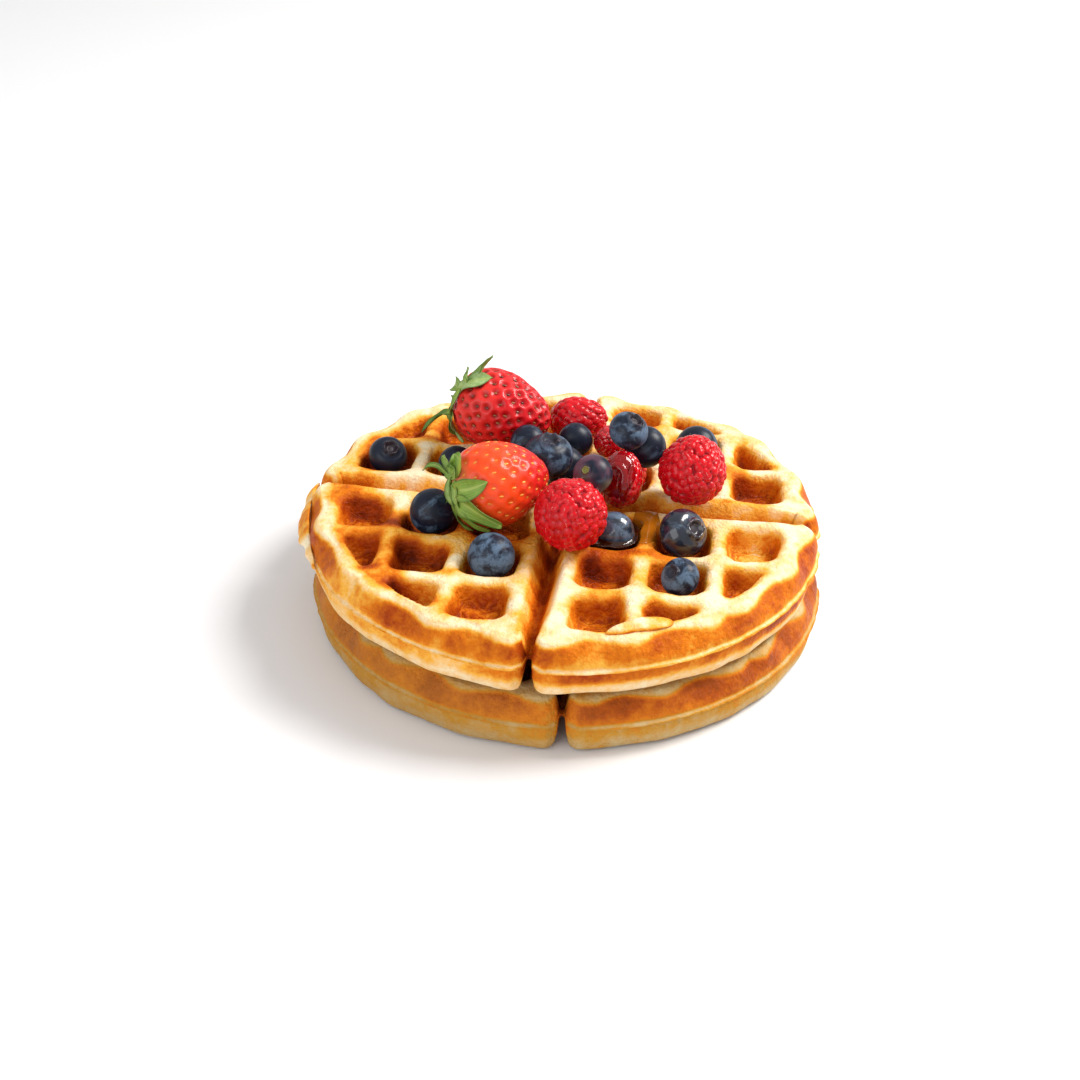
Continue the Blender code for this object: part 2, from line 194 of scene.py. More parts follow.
# Batter at the left rim: where it starts, how far round it goes, and its radius
FLAP_START = math.radians(176.5)
FLAP_SPAN = math.radians(34)
FLAP_RADIUS = 88.7

# Batter folded over a pocket's edge: its middle, and half its length, width and height
FOLD_MIDDLE = (32.9, -71.0, -0.7)
FOLD_HALVES = (10.2, 3.3, 1.5)

# Place of each light in metres over the part's origin, its size and its colour
KEY_LIGHT = ((0.75, 0.35, 0.95), 0.6, (1.0, 0.98, 0.95))
FILL_LIGHT = ((-0.6, -1.1, 0.7), 1.1, (0.98, 0.99, 1.0))
WORLD_STRENGTH = 0.62
FLOOR_HALF = 6.0

# Camera of the photo: its place and the direction it looks in, in mm over the crust
CAMERA_PLACE = (60.528, -520.277, 315.104)
CAMERA_LOOK = (-0.11023, 0.83646, -0.53682)
CAMERA_ROLL = math.radians(1.181)


# Properties that a user would change


class CrustSettings(bpy.types.PropertyGroup):
    """Sizes and colours of the two crusts."""

    pocket_depth: bpy.props.FloatProperty(
        name="Pocket depth",
        description="From the top of a rib to the floor of a pocket",
        default=7.5 * MM,
        unit="LENGTH",
    )
    groove_depth: bpy.props.FloatProperty(
        name="Groove depth",
        description="Depth of the two grooves that part the quarters",
        default=9.5 * MM,
        unit="LENGTH",
    )
    rib_sag: bpy.props.FloatProperty(
        name="Rib sag",
        description="How far a rib dips between two crossings",
        default=0.9 * MM,
        unit="LENGTH",
    )
    unevenness: bpy.props.FloatProperty(
        name="Unevenness",
        description="Height of the crust's wide bumps",
        default=0.45 * MM,
        unit="LENGTH",
    )
    cream: bpy.props.FloatVectorProperty(
        name="Cream", description="Palest crust", subtype="COLOR", default=(0.87, 0.73, 0.49)
    )
    gold: bpy.props.FloatVectorProperty(
        name="Gold", description="Lightly baked", subtype="COLOR", default=(0.84, 0.41, 0.050)
    )
    amber: bpy.props.FloatVectorProperty(
        name="Amber", description="Well baked", subtype="COLOR", default=(0.66, 0.17, 0.005)
    )
    brown: bpy.props.FloatVectorProperty(
        name="Brown", description="Pocket floors", subtype="COLOR", default=(0.37, 0.050, 0.002)
    )
    umber: bpy.props.FloatVectorProperty(
        name="Umber", description="Darkest crust", subtype="COLOR", default=(0.13, 0.012, 0.001)
    )


class BerrySettings(bpy.types.PropertyGroup):
    """Colours of the fruit."""

    blueberry_skin: bpy.props.FloatVectorProperty(
        name="Blueberry skin", description="Bare skin", subtype="COLOR", default=(0.007, 0.011, 0.024)
    )
    blueberry_bloom: bpy.props.FloatVectorProperty(
        name="Blueberry bloom", description="Waxy bloom", subtype="COLOR", default=(0.105, 0.165, 0.25)
    )
    raspberry: bpy.props.FloatVectorProperty(
        name="Raspberry", description="Top of a drupelet", subtype="COLOR", default=(0.66, 0.003, 0.010)
    )
    strawberry: bpy.props.FloatVectorProperty(
        name="Strawberry", description="Ripe side", subtype="COLOR", default=(0.60, 0.004, 0.009)
    )
    coral: bpy.props.FloatVectorProperty(
        name="Coral", description="Less ripe side", subtype="COLOR", default=(0.83, 0.060, 0.008)
    )
    leaf: bpy.props.FloatVectorProperty(
        name="Leaf", description="Fresh side of a leaf", subtype="COLOR", default=(0.17, 0.31, 0.03)
    )


class StageSettings(bpy.types.PropertyGroup):
    """The camera and the light."""

    lens: bpy.props.FloatProperty(
        name="Lens", description="Focal length in mm on a 36 mm sensor", default=59.46
    )
    floor: bpy.props.FloatVectorProperty(
        name="Floor", description="Plain floor", subtype="COLOR", default=(0.82, 0.82, 0.83)
    )
    key_power: bpy.props.FloatProperty(
        name="Key light", description="Power of the key light", default=21.0, unit="POWER"
    )
    fill_power: bpy.props.FloatProperty(
        name="Fill light", description="Power of the fill light", default=8.0, unit="POWER"
    )


# Shader building


class Wire:
    """A node's output. Sums and products of wires and numbers add Math nodes."""

    def __init__(self, bench, socket):
        self.bench = bench
        self.socket = socket

    def math(self, operation, first, second):
        """One Math node."""
        return self.bench.node("ShaderNodeMath", {"operation": operation}, {0: first, 1: second})

    def __add__(self, other):
        return self.math("ADD", self, other)

    def __radd__(self, other):
        return self.math("ADD", other, self)

    def __sub__(self, other):
        return self.math("SUBTRACT", self, other)

    def __rsub__(self, other):
        return self.math("SUBTRACT", other, self)

    def __mul__(self, other):
        return self.math("MULTIPLY", self, other)

    def __rmul__(self, other):
        return self.math("MULTIPLY", other, self)

    def clamped(self):
        """The value kept between 0 and 1."""
        return self.math("MAXIMUM", self.math("MINIMUM", self, 1.0), 0.0)


class Bench:
    """One material and its nodes."""

    def __init__(self, name):
        self.material = bpy.data.materials.new(name)
        self.material.use_nodes = True
        self.tree = self.material.node_tree
        self.shader = self.tree.nodes["Principled BSDF"]

    def node(self, kind, settings=None, inputs=None, output=0):
        """Adds a node: its settings first, then values or wires for its sockets."""
        made = self.tree.nodes.new(kind)
        for key, value in (settings or {}).items():
            if key == "stops":
                self.set_stops(made.color_ramp, value)
            else:
                setattr(made, key, value)
        for key, value in (inputs or {}).items():
            self.feed(made.inputs[key], value)
        return Wire(self, made.outputs[output])

    def set_stops(self, ramp, stops):
        """Gives a new ramp as many colours as there are stops."""
        while len(ramp.elements) < len(stops):
            ramp.elements.new(1.0)
        for element, (position, colour) in zip(ramp.elements, stops):
            element.position = position
            element.color = (*colour, 1.0)

    def feed(self, socket, value):
        """Links a wire to a socket, or sets the socket's own value."""
        if isinstance(value, Wire):
            self.tree.links.new(value.socket, socket)
        elif hasattr(socket.default_value, "__len__") and len(socket.default_value) == 4:
            socket.default_value = (*value, 1.0)
        else:
            socket.default_value = value

    def place(self):
        """The piece's own object coordinates."""
        return self.node("ShaderNodeTexCoord", output="Object")

    def along(self, axis):
        """The piece's own coordinate along X, Y or Z, in metres."""
        return self.node("ShaderNodeSeparateXYZ", {}, {0: self.place()}, axis)

    def grain(self, size, detail=3.0, roughness=0.55, distortion=0.0):
        """Cloudy noise with patches of about size mm."""
        inputs = {
            "Vector": self.place(),
            "Scale": 1000.0 / size,
            "Detail": detail,
            "Roughness": roughness,
            "Distortion": distortion,
        }
        return self.node("ShaderNodeTexNoise", {}, inputs)

    def cells(self, size):
        """Distance to scattered points about size mm apart."""
        inputs = {"Vector": self.place(), "Scale": 1000.0 / size}
        return self.node("ShaderNodeTexVoronoi", {}, inputs)

    def painted(self, name):
        """A value stored on the piece's points."""
        return self.node("ShaderNodeAttribute", {"attribute_name": name}, {}, "Fac")

    def sine(self, value):
        """The sine of a value in radians."""
        return self.node("ShaderNodeMath", {"operation": "SINE"}, {0: value})

    def ramp(self, value, stops):
        """The colour at a value, from stops of (position, colour)."""
        return self.node("ShaderNodeValToRGB", {"stops": stops}, {0: value})

    def between(self, value, low, high):
        """0 below low, 1 above high, and smooth between them."""
        settings = {"interpolation_type": "SMOOTHSTEP"}
        inputs = {"Value": value, "From Min": low, "From Max": high}
        return self.node("ShaderNodeMapRange", settings, inputs)

    def mix(self, share, first, second):
        """Blends two colours."""
        settings = {"data_type": "RGBA", "clamp_factor": True}
        return self.node("ShaderNodeMix", settings, {0: share, 6: first, 7: second}, 2)

    def bump(self, height, strength, distance):
        """A normal bent by a height, distance in mm."""
        inputs = {"Height": height, "Strength": strength, "Distance": distance * MM}
        return self.node("ShaderNodeBump", {}, inputs)

    def finish(self, **sockets):
        """Sets the shader's sockets, with spaces in their names written as underscores."""
        for key, value in sockets.items():
            self.feed(self.shader.inputs[key.replace("_", " ")], value)
        return self.material


# Mesh building


def put_mesh(name, points, faces, attributes, material, nodes):
    """Makes a piece from points in mm over the crust, and puts it in the frame."""
    mesh = bpy.data.meshes.new(name)
    world = np.asarray(points, float) + CRUST_MIDDLE
    mesh.from_pydata((world * MM).tolist(), [], faces)
    for key, values in attributes.items():
        layer = mesh.attributes.new(key, "FLOAT", "POINT")
        layer.data.foreach_set("value", np.asarray(values, np.float32))
    mesh.update()
    mesh.shade_smooth()
    mesh.materials.append(material)
    piece = bpy.data.objects.new(name, mesh)
    bpy.context.scene.collection.objects.link(piece)
    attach(piece, "root")
    if nodes:
        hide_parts(*nodes)


def ring_faces(rows, columns):
    """Quads between rows of points that close on themselves, and fans at both poles."""
    row = np.arange(rows - 1)[:, None] * columns
    here = np.arange(columns)[None, :]
    after = (here + 1) % columns
    quads = np.stack(
        [row + here, row + columns + here, row + columns + after, row + after], axis=-1
    )
    first_pole = rows * columns
    start = np.arange(columns)
    following = (start + 1) % columns
    last = (rows - 1) * columns
    top = np.stack([np.full(columns, first_pole), start, following], axis=-1)
    bottom = np.stack([np.full(columns, first_pole + 1), last + following, last + start], axis=-1)
    return quads.reshape(-1, 4).tolist() + top.tolist() + bottom.tolist()


def closed_ball(surface, rows, columns):
    """Points of surface(polar, turn) on a grid, with one point at each pole."""
    share = (np.arange(rows) + 0.5) / rows
    polar, turn = np.meshgrid(
        share * math.pi, np.arange(columns) * 2 * math.pi / columns, indexing="ij"
    )
    body = surface(polar.ravel(), turn.ravel())
    ends = surface(np.array([NEAR_POLE, math.pi - NEAR_POLE]), np.zeros(2))
    points = np.concatenate([body[0], ends[0]])
    values = {key: np.concatenate([body[1][key], ends[1][key]]) for key in body[1]}
    return points, ring_faces(rows, columns), values


def unit_ball(polar, turn):
    """Points of a ball of radius 1, from the angle to its pole and the turn about it."""
    out = np.sin(polar)
    return np.stack([out * np.cos(turn), out * np.sin(turn), np.cos(polar)], axis=1)


def joined(parts):
    """One mesh from several (points, faces, values)."""
    points = np.concatenate([part[0] for part in parts])
    faces = []
    start = 0
    for part_points, part_faces, _ in parts:
        faces += [[index + start for index in face] for face in part_faces]
        start += len(part_points)
    values = {key: np.concatenate([part[2][key] for part in parts]) for key in parts[0][2]}
    return points, faces, values


def unit_length(vectors):
    """The vectors, each scaled to length 1."""
    return vectors / np.linalg.norm(vectors, axis=-1, keepdims=True)


def frame_along(spine, middle):
    """Two directions at each point of a line: ahead, and away from middle, square to it."""
    ahead = unit_length(np.gradient(spine, axis=0))
    outward = spine - middle
    outward -= ahead * (outward * ahead).sum(axis=1, keepdims=True)
    return ahead, unit_length(outward)


def turn_to(direction):
    """Columns of a frame whose third axis points along direction."""
    axis = unit_length(np.array(direction, float))
    helper = [0.0, 1.0, 0.0] if abs(axis[1]) < 0.8 else [1.0, 0.0, 0.0]
    side = unit_length(np.cross(helper, axis))
    return np.stack([side, np.cross(axis, side), axis], axis=1)


def spread(count, seed, jitter):
    """Directions spread evenly over a ball along a spiral, each shifted a little."""
    draw = np.random.default_rng(seed)
    step = np.arange(count) + 0.5
    height = 1 - 2 * step / count
    turn = step * math.pi * (3 - math.sqrt(5))
    out = np.sqrt(1 - height**2)
    points = np.stack([out * np.cos(turn), out * np.sin(turn), height], axis=1)
    points += draw.normal(0, jitter / math.sqrt(count), points.shape)
    return unit_length(points)


def lattice(cell, seed):
    """A repeatable value from 0 to 1 for each whole-number place."""
    mixed = cell @ np.array([127.1, 311.7, 74.7]) + seed * 53.3
    return np.mod(np.sin(mixed) * 43758.5453, 1.0)


def cloud(points, size, seed=0, octaves=1):
    """Smooth noise from -1 to 1: corner values of cells of size mm, blended smoothly."""
    total = np.zeros(len(points))
    weight = 1.0
    for octave in range(octaves):
        place = points / (size / 2**octave)
        cell = np.floor(place)
        inside = place - cell
        inside = inside * inside * (3 - 2 * inside)
        value = np.zeros(len(points))
        for corner in np.ndindex(2, 2, 2):
            corner = np.array(corner)
            share = np.prod(np.where(corner, inside, 1 - inside), axis=1)
            value += share * lattice(cell + corner, seed + octave)
        total += weight * (2 * value - 1)
        weight *= 0.5
    return total


def smooth_step(value, low, high):
    """0 below low, 1 above high, and smooth between them."""
    share = np.clip((value - low) / (high - low), 0.0, 1.0)
    return share * share * (3 - 2 * share)


def soft_max(first, second, width):
    """The larger of two values, with the corner between them rounded over width."""
    near = np.maximum(width - np.abs(first - second), 0.0) / width
    return np.maximum(first, second) + near * near * width / 4


def soft_min(first, second, width):
    """The smaller of two values, rounded in the same way."""
    return -soft_max(-first, -second, width)


# The crusts


def pocket_offsets(x, y):
    """Offset from the nearest pocket's middle along each axis, and that pocket's indexes."""
    column = np.clip(np.rint((np.abs(x) - FIRST_POCKET) / PITCH), 0, 2)
    row = np.clip(np.rint((np.abs(y) - FIRST_POCKET) / PITCH), 0, 2)
    across = np.abs(x) - FIRST_POCKET - column * PITCH
    along = np.abs(y) - FIRST_POCKET - row * PITCH
    return across, along, column, row


def pocket_inside(x, y):
    """Distance inside the nearest pocket's mouth, negative outside it.

    The mouth is a square with round corners, cut by a round wall near the rim.
    """
    across, along, column, row = pocket_offsets(x, y)
    out_x = np.abs(across) - (POCKET_HALF - POCKET_CORNER)
    out_y = np.abs(along) - (POCKET_HALF - POCKET_CORNER)
    outside = np.hypot(np.maximum(out_x, 0), np.maximum(out_y, 0)) - POCKET_CORNER
    outside += np.minimum(np.maximum(out_x, out_y), 0)
    outside = np.where((column == 2) & (row == 2), 6.0, outside)
    return -soft_max(outside, np.hypot(x, y) - POCKET_WALL_RADIUS, 2.5)


def wavering_inside(x, y, seed):
    """The same distance for mouths whose edges waver, as batter rises unevenly."""
    points = np.stack([x, y, np.zeros_like(x)], axis=1)
    shift_x = 0.75 * cloud(points, 12, seed + 5) + 0.3 * cloud(points, 4, seed + 7)
    shift_y = 0.75 * cloud(points, 12, seed + 6) + 0.3 * cloud(points, 4, seed + 8)
    return pocket_inside(x + shift_x, y + shift_y)


def groove_height(distance, radius, depth):
    """Height in a groove at a distance from its line: a V that narrows towards the rim.

    It is rounded at its crests and at its bottom.
    """
    wide = 4.9 - 2.4 * smooth_step(radius, 60.0, 86.0)
    height = soft_min((distance - wide) * depth / (wide - 0.8), 0.0, 3.2)
    return soft_max(height, -depth, 1.8)


def crust_height(x, y, settings, seed):
    """Height over the rib tops.

    A pocket's wall is an S curve of the distance inside its mouth. The grooves are V
    shaped, rounded at the crest and at the bottom. Ribs sag between their crossings.
    """
    depth = settings.pocket_depth / MM
    groove_depth = settings.groove_depth / MM
    points = np.stack([x, y, np.zeros_like(x)], axis=1)
    inside = wavering_inside(x, y, seed)
    reach = 3.0 + 0.6 * cloud(points, 14, seed + 9)
    floor = depth + 0.45 * cloud(points, 20, seed + 3) + 0.22 * cloud(points, 3.2, seed + 4)
    pocket = -floor * smooth_step(inside, -0.5, reach)
    crest = -0.75 * smooth_step(inside, -3.0, 0.8)
    axis_distance = np.minimum(np.abs(x), np.abs(y))
    axis_distance = axis_distance + 0.45 * cloud(points, 11, seed + 12)
    groove = groove_height(axis_distance, np.hypot(x, y), groove_depth)
    across, along, _, _ = pocket_offsets(x, y)
    middle = np.maximum(np.cos(np.pi * across / PITCH) ** 2, np.cos(np.pi * along / PITCH) ** 2)
    rib = smooth_step(np.hypot(x, y), 80.0, 70.0)
    sag = -settings.rib_sag / MM * middle * rib * smooth_step(axis_distance, 5.0, 10.0)
    uneven = settings.unevenness / MM * cloud(points, 17, seed, 2)
    uneven += 0.10 * cloud(points, 3.5, seed + 2, 2)
    edge = -0.8 * smooth_step(np.hypot(x, y), 70.0, DISC_RADIUS)
    return np.minimum(pocket + crest + sag, groove) + uneven + edge - 0.35


def grid_lines():
    """Places of the grid's lines from the middle out: close together on walls."""
    spans = [(0.0, 0.8, 2), (0.8, 5.8, 8), (5.8, 8.8, 3)]
    for pocket in range(3):
        middle = FIRST_POCKET + pocket * PITCH
        spans += [
            (middle - 9.8, middle - 5.2, 8),
            (middle - 5.2, middle + 5.2, 9),
            (middle + 5.2, middle + 9.8, 8),
        ]
        if pocket < 2:
            spans.append((middle + 9.8, middle + PITCH - 9.8, 3))
    outermost = DISC_RADIUS + 1.5
    spans.append((FIRST_POCKET + 2 * PITCH + 9.8, outermost, 4))
    half = [np.linspace(low, high, count, endpoint=False) for low, high, count in spans]
    half = np.concatenate([*half, [outermost]])
    return np.concatenate([-half[:0:-1], half])


def disc_grid():
    """Points and quads of a round face on the grid's lines.

    Points just outside the circle are drawn in onto it. The edge's points come back in
    order of their angle.
    """
    lines = grid_lines()
    count = len(lines)
    x, y = (values.ravel() for values in np.meshgrid(lines, lines, indexing="ij"))
    radius = np.hypot(x, y)
    inner = radius < DISC_RADIUS - 0.3
    corner = (np.arange(count - 1)[:, None] * count + np.arange(count - 1)[None, :]).ravel()
    cells = np.stack([corner, corner + count, corner + count + 1, corner + 1], axis=1)
    cells = cells[inner[cells].any(axis=1)]
    used = np.unique(cells)
    edge = used[~inner[used]]
    x[edge] *= DISC_RADIUS / radius[edge]
    y[edge] *= DISC_RADIUS / radius[edge]
    new_index = np.full(count * count, -1)
    new_index[used] = np.arange(len(used))
    order = np.argsort(np.arctan2(y[edge], x[edge]))
    return x[used], y[used], new_index[cells], new_index[edge[order]]


def rim_hollow(angle):
    """0 where a rib runs out to the rim, and 1 outside the outer pockets."""
    quarter = np.mod(angle, math.pi / 2)
    bump = np.zeros_like(quarter)
    for pocket in range(3):
        rib = FIRST_POCKET + (pocket - 0.5) * PITCH
        middle = math.asin(rib / PLATEAU_RADIUS)
        for centre in (middle, math.pi / 2 - middle):
            bump = np.maximum(bump, np.exp(-(((quarter - centre) / math.radians(5.2)) ** 2)))
    return 1.0 - bump


def rim_rows(angle, edge_height, side, settings, seed):
    """Points of one half of the rim, row by row from the face's edge out to the seam.

    The section is a flat ledge, then a quarter ellipse down to the middle plane, with a
    thin seam standing out of it. It is hollowed outside the outer pockets, and cut by
    the grooves, whose web stops short of the rim.
    """
    half = THICKNESS / 2
    ledge_rows = np.linspace(0.2, 1.0, 3)
    drop_rows = np.linspace(0.08, 0.90, 13)
    seam_rows = np.linspace(0.925, 1.0, 7)
    ledge = np.concatenate([ledge_rows, np.ones(20)])[:, None]
    drop = np.concatenate([np.zeros(3), drop_rows, seam_rows])[:, None] * math.pi / 2
    angle = angle[None, :]
    around = angle[0]
    level = np.full(angle.size, side * 9.0)
    flat = np.stack([np.cos(around) * RIM_MIDDLE, np.sin(around) * RIM_MIDDLE, level], axis=1)
    wobble = cloud(flat, 16, seed + 20, 2)[None, :]
    fine = cloud(flat, 4.5, seed + 24, 2)[None, :]
    hollow = rim_hollow(angle + 0.012 * wobble)
    if side < 0:
        hollow = 0.2 * hollow
    crest = PLATEAU_RADIUS if side > 0 else LOWER_CREST_RADIUS
    plateau = crest - PLATEAU_HOLLOW * hollow + 0.5 * wobble
    radius = DISC_RADIUS + (plateau - DISC_RADIUS) * ledge
    radius = radius + (RIM_RADIUS - 0.8 - plateau) * np.sin(drop) ** 1.15
    radius = radius - 1.2 * hollow * np.sin(2 * drop) ** 2 + 0.18 * fine * np.sin(drop)
    height = -1.15 - 0.5 * hollow * ledge + (half - LEDGE_HEIGHT) * (np.cos(drop) - 1)
    height = edge_height[None, :] * (1 - ledge) + height * ledge
    height = height + 0.3 * wobble * np.sin(2 * drop) + 0.12 * fine * ledge * np.cos(drop)
    settle = smooth_step(drop / (math.pi / 2), 0.55, 1.0)
    height = height * (1 - settle) + settle * ((half - LEDGE_HEIGHT) * np.cos(drop) - half)
    seam = np.exp(-(((height + half) / 0.42) ** 2))
    radius = radius + (0.75 + 0.2 * wobble + 0.15 * fine) * seam
    radius = radius - 0.315 * np.exp(-(((height + half - 1.1) / 0.5) ** 2))
    lateral = np.minimum(np.abs(np.sin(angle)), np.abs(np.cos(angle))) * RIM_MIDDLE
    groove = groove_height(lateral, radius + (side < 0) * 9.0, settings.groove_depth / MM)
    cut = np.minimum(height, np.where(lateral < 6.4, groove - 0.6, 0.0))
    cut = np.maximum(cut, -half)
    corner = 2.8 * smooth_step(lateral, 6.0, 0.8) ** 1.5
    radius = np.minimum(radius - corner, 80.5 + np.maximum(lateral - 0.85, 0) * 20)
    x = radius * np.cos(angle)
    y = radius * np.sin(angle)
    return x, y, side * (half + cut), drop / (math.pi / 2), hollow + 0 * drop


def baked(x, y, height, settings, seed, deep, pocket_tones, spots):
    """How brown the crust is, from 0 to 1.

    It steps up at a pocket's mouth and again down its wall, with painted shade as a bell
    curve round the wall's foot, and twice towards the middle of a groove. Each pocket has a
    tone of its own, and oval bell curves make the browned spots on some ribs.
    """
    points = np.stack([x, y, np.zeros_like(x)], axis=1)
    depth = -height / (settings.pocket_depth / MM)
    _, _, column, row = pocket_offsets(x, y)
    inside = wavering_inside(x, y, seed)
    # Painted shade: the crust is browner in a ring near the foot of each pocket's wall, where shade
    # falls
    shadow = np.exp(-(((inside - 2.7) / 1.3) ** 2))
    tone = 0.08 + 0.17 * smooth_step(inside, -2.2, 0.2) + 0.28 * smooth_step(inside, 0.0, 0.8)
    tone += 0.10 * shadow * smooth_step(depth, 0.2, 0.6)
    own = np.zeros_like(x)
    for (across_index, along_index), shift in pocket_tones.items():
        same = (column == abs(across_index) - 1) & (row == abs(along_index) - 1)
        same &= (np.sign(x) == np.sign(across_index)) & (np.sign(y) == np.sign(along_index))
        own[same] = shift
    tone += own * smooth_step(inside, -1.0, 2.6)
    axis_distance = np.minimum(np.abs(x), np.abs(y))
    tone += 0.20 * smooth_step(axis_distance, 5.4, 3.6) + 0.34 * smooth_step(axis_distance, 3.6, 1.0)
    for spot_x, spot_y, long, short, strength in spots:
        spot = ((x - spot_x) / long) ** 2 + ((y - spot_y) / short) ** 2
        tone += strength * np.exp(-(spot**1.5)) * (1 + 0.4 * cloud(points, 4, seed + 51))
    wide = cloud(points, 26, seed + 33, 2)
    tone += 0.30 * smooth_step(wide, 0.0, 0.8) + 0.17 * cloud(points, 6, seed + 35, 2)
    tone += 0.10 * smooth_step(np.hypot(x, y), 55.0, 15.0)
    return np.clip(tone + deep, 0.0, 1.0)


def rim_baked(x, y, share, hollow, seed, side, deep):
    """How brown the rim is: bands that step up and down with share, from crest to seam.

    The upper half's band starts under its pale crest, the lower half's lies by the seam.
    """
    points = np.stack([x.ravel(), y.ravel(), np.full(x.size, side * 30.0)], axis=1)
    patches = cloud(points, 19, seed + 41, 2).reshape(x.shape)
    streaks = cloud(points, 6, seed + 43, 2).reshape(x.shape)
    start = 0.24 - 0.14 * hollow + 0.09 * patches
    band = smooth_step(share, start, start + 0.28) * smooth_step(share, 0.985, 0.88)
    heart = smooth_step(share, start + 0.05, start + 0.3) * smooth_step(share, 0.92, 0.66)
    tone = 0.10 + band * (0.32 + 0.06 * hollow + 0.16 * patches) + 0.09 * heart * (1 + patches)
    tone = tone + 0.09 * streaks + 0.9 * deep * band
    tone += 0.12 * heart * np.exp(-(((x - 18) / 22) ** 2)) * (y < 0)
    if side < 0:
        under = smooth_step(share, 0.985, 0.93) * smooth_step(share, 0.52, 0.82)
        darker = 0.20 * smooth_step(x, -25.0, 15.0)
        tone = 0.14 + under * (0.24 + darker + 0.26 * patches) * (1 - 4 * deep) + 0.07 * streaks
    seam = smooth_step(share, 0.965, 0.99)
    tone = tone * (1 - seam) + seam * (0.34 + 0.16 * patches + 0.10 * streaks)
    slot = np.exp(-((np.minimum(np.abs(x), np.abs(y)) / 1.7) ** 2))
    return np.clip(tone + 0.5 * slot, 0.0, 1.0)


def waffle_mesh(settings, seed, deep, pocket_tones, spots):
    """Both faces on one grid, joined by the rows of the rim. The middle plane is z = 0."""
    x, y, quads, edge = disc_grid()
    half = THICKNESS / 2
    faces = []
    points = []
    values = {"brown": [], "damp": [], "ring": []}
    angle = np.arctan2(y[edge], x[edge])
    starts = []
    rims = []
    for side, face_seed in ((1, seed), (-1, seed + 50)):
        height = crust_height(x, y, settings, face_seed)
        starts.append(sum(len(block) for block in points))
        points.append(np.stack([x, y, side * (half + height)], axis=1))
        inside = wavering_inside(x, y, face_seed)
        face_spots = spots if side > 0 else ()
        tone = baked(x, y, height, settings, face_seed, deep, pocket_tones, face_spots)
        values["brown"].append(tone)
        values["damp"].append(smooth_step(inside, 0.5, 3.0))
        values["ring"].append(inside)
        flip = quads if side > 0 else quads[:, ::-1]
        faces += (flip + starts[-1]).tolist()
        rims.append(rim_rows(angle, height[edge], side, settings, face_seed))
    around = len(edge)
    rows = [starts[0] + edge]
    used = sum(len(block) for block in points)
    for side, rim in zip((1, -1), rims):
        x_rows, y_rows, z_rows, share, hollow = rim
        tone = rim_baked(x_rows, y_rows, share + 0 * x_rows, hollow, seed, side, deep)
        order = range(len(x_rows)) if side > 0 else range(len(x_rows) - 2, -1, -1)
        for row in order:
            points.append(np.stack([x_rows[row], y_rows[row], z_rows[row]], axis=1))
            blend = min(1.0, (row + 1) / 3)
            edge_tone = values["brown"][0 if side > 0 else 1][edge]
            values["brown"].append(tone[row] * blend + edge_tone * (1 - blend))
            values["damp"].append(np.zeros(around))
            values["ring"].append(np.full(around, -4.0))
            rows.append(used + np.arange(around))
            used += around
    rows.append(starts[1] + edge)
    for row, following in zip(rows, rows[1:]):
        after = np.roll(np.arange(around), -1)
        band = np.stack([row, following, following[after], row[after]], axis=1)
        faces += band.tolist()
    values = {key: np.concatenate(parts) for key, parts in values.items()}
    return np.concatenate(points), faces, values


def crust_material(name, settings, dull_and_shaded):
    """Baked batter: colour from how brown it is, fine pores, a slightly oily sheen."""
    bench = Bench(name)
    tone = bench.painted("brown")
    damp = bench.painted("damp")
    ring = bench.painted("ring")
    mottle = bench.grain(2.4, 4.0, 0.62) - 0.5
    wide = bench.grain(8.0, 3.0, 0.55, 0.5) - 0.5
    waves = bench.sine(ring * 2.6 + bench.grain(6.0, 4.0) * 30.0)
    speckle = bench.grain(1.0, 3.0, 0.7) - 0.5
    tone = tone + mottle * 0.36 + wide * 0.28 + speckle * 0.15 + damp * (waves * 0.07)
    tone = tone.clamped()
    # The lower waffle's crust is duller and, as painted shade, darker: its cream and gold are faded
    # here
    fade = 1 - dull_and_shaded * np.array([0.34, 0.36, 0.48])
    cream = np.array(settings.cream) * fade
    gold = np.array(settings.gold) * fade
    stops = [
        (0.0, cream),
        (0.14, (cream + gold) / 2),
        (0.30, gold),
        (0.48, tuple(settings.amber)),
        (0.70, tuple(settings.brown)),
        (0.95, tuple(settings.umber)),
    ]
    colour = bench.ramp(tone, stops)
    if dull_and_shaded:
        # Painted shade: the lower waffle's left side, away from the key light, is mixed towards a dark
        # tan
        left = bench.between(bench.along("X"), 0.04, -0.05)
        colour = bench.mix(0.15 + left * 0.35, colour, (0.36, 0.17, 0.025))
    specks = bench.between(bench.grain(0.8, 2.0, 0.7), 0.66, 0.72)
    colour = bench.mix(specks * (0.25 + 0.35 * dull_and_shaded), colour, tuple(settings.brown))
    pores = bench.cells(1.0)
    fine = bench.grain(0.45, 2.0, 0.6)
    height = pores * 0.5 + fine * 0.4 + bench.grain(2.4, 3.0, 0.6) * 2.2 + damp * (waves * 0.35)
    return bench.finish(
        Base_Color=colour,
        Roughness=0.60 - 0.22 * bench.between(tone, 0.35, 0.75) - 0.10 * damp + 0.12 * mottle,
        Normal=bench.bump(height, 0.75, 0.55),
        Specular_IOR_Level=0.09,
        Subsurface_Weight=0.05,
        Subsurface_Radius=(1.0, 0.45, 0.2),
        Subsurface_Scale=0.0012,
    )


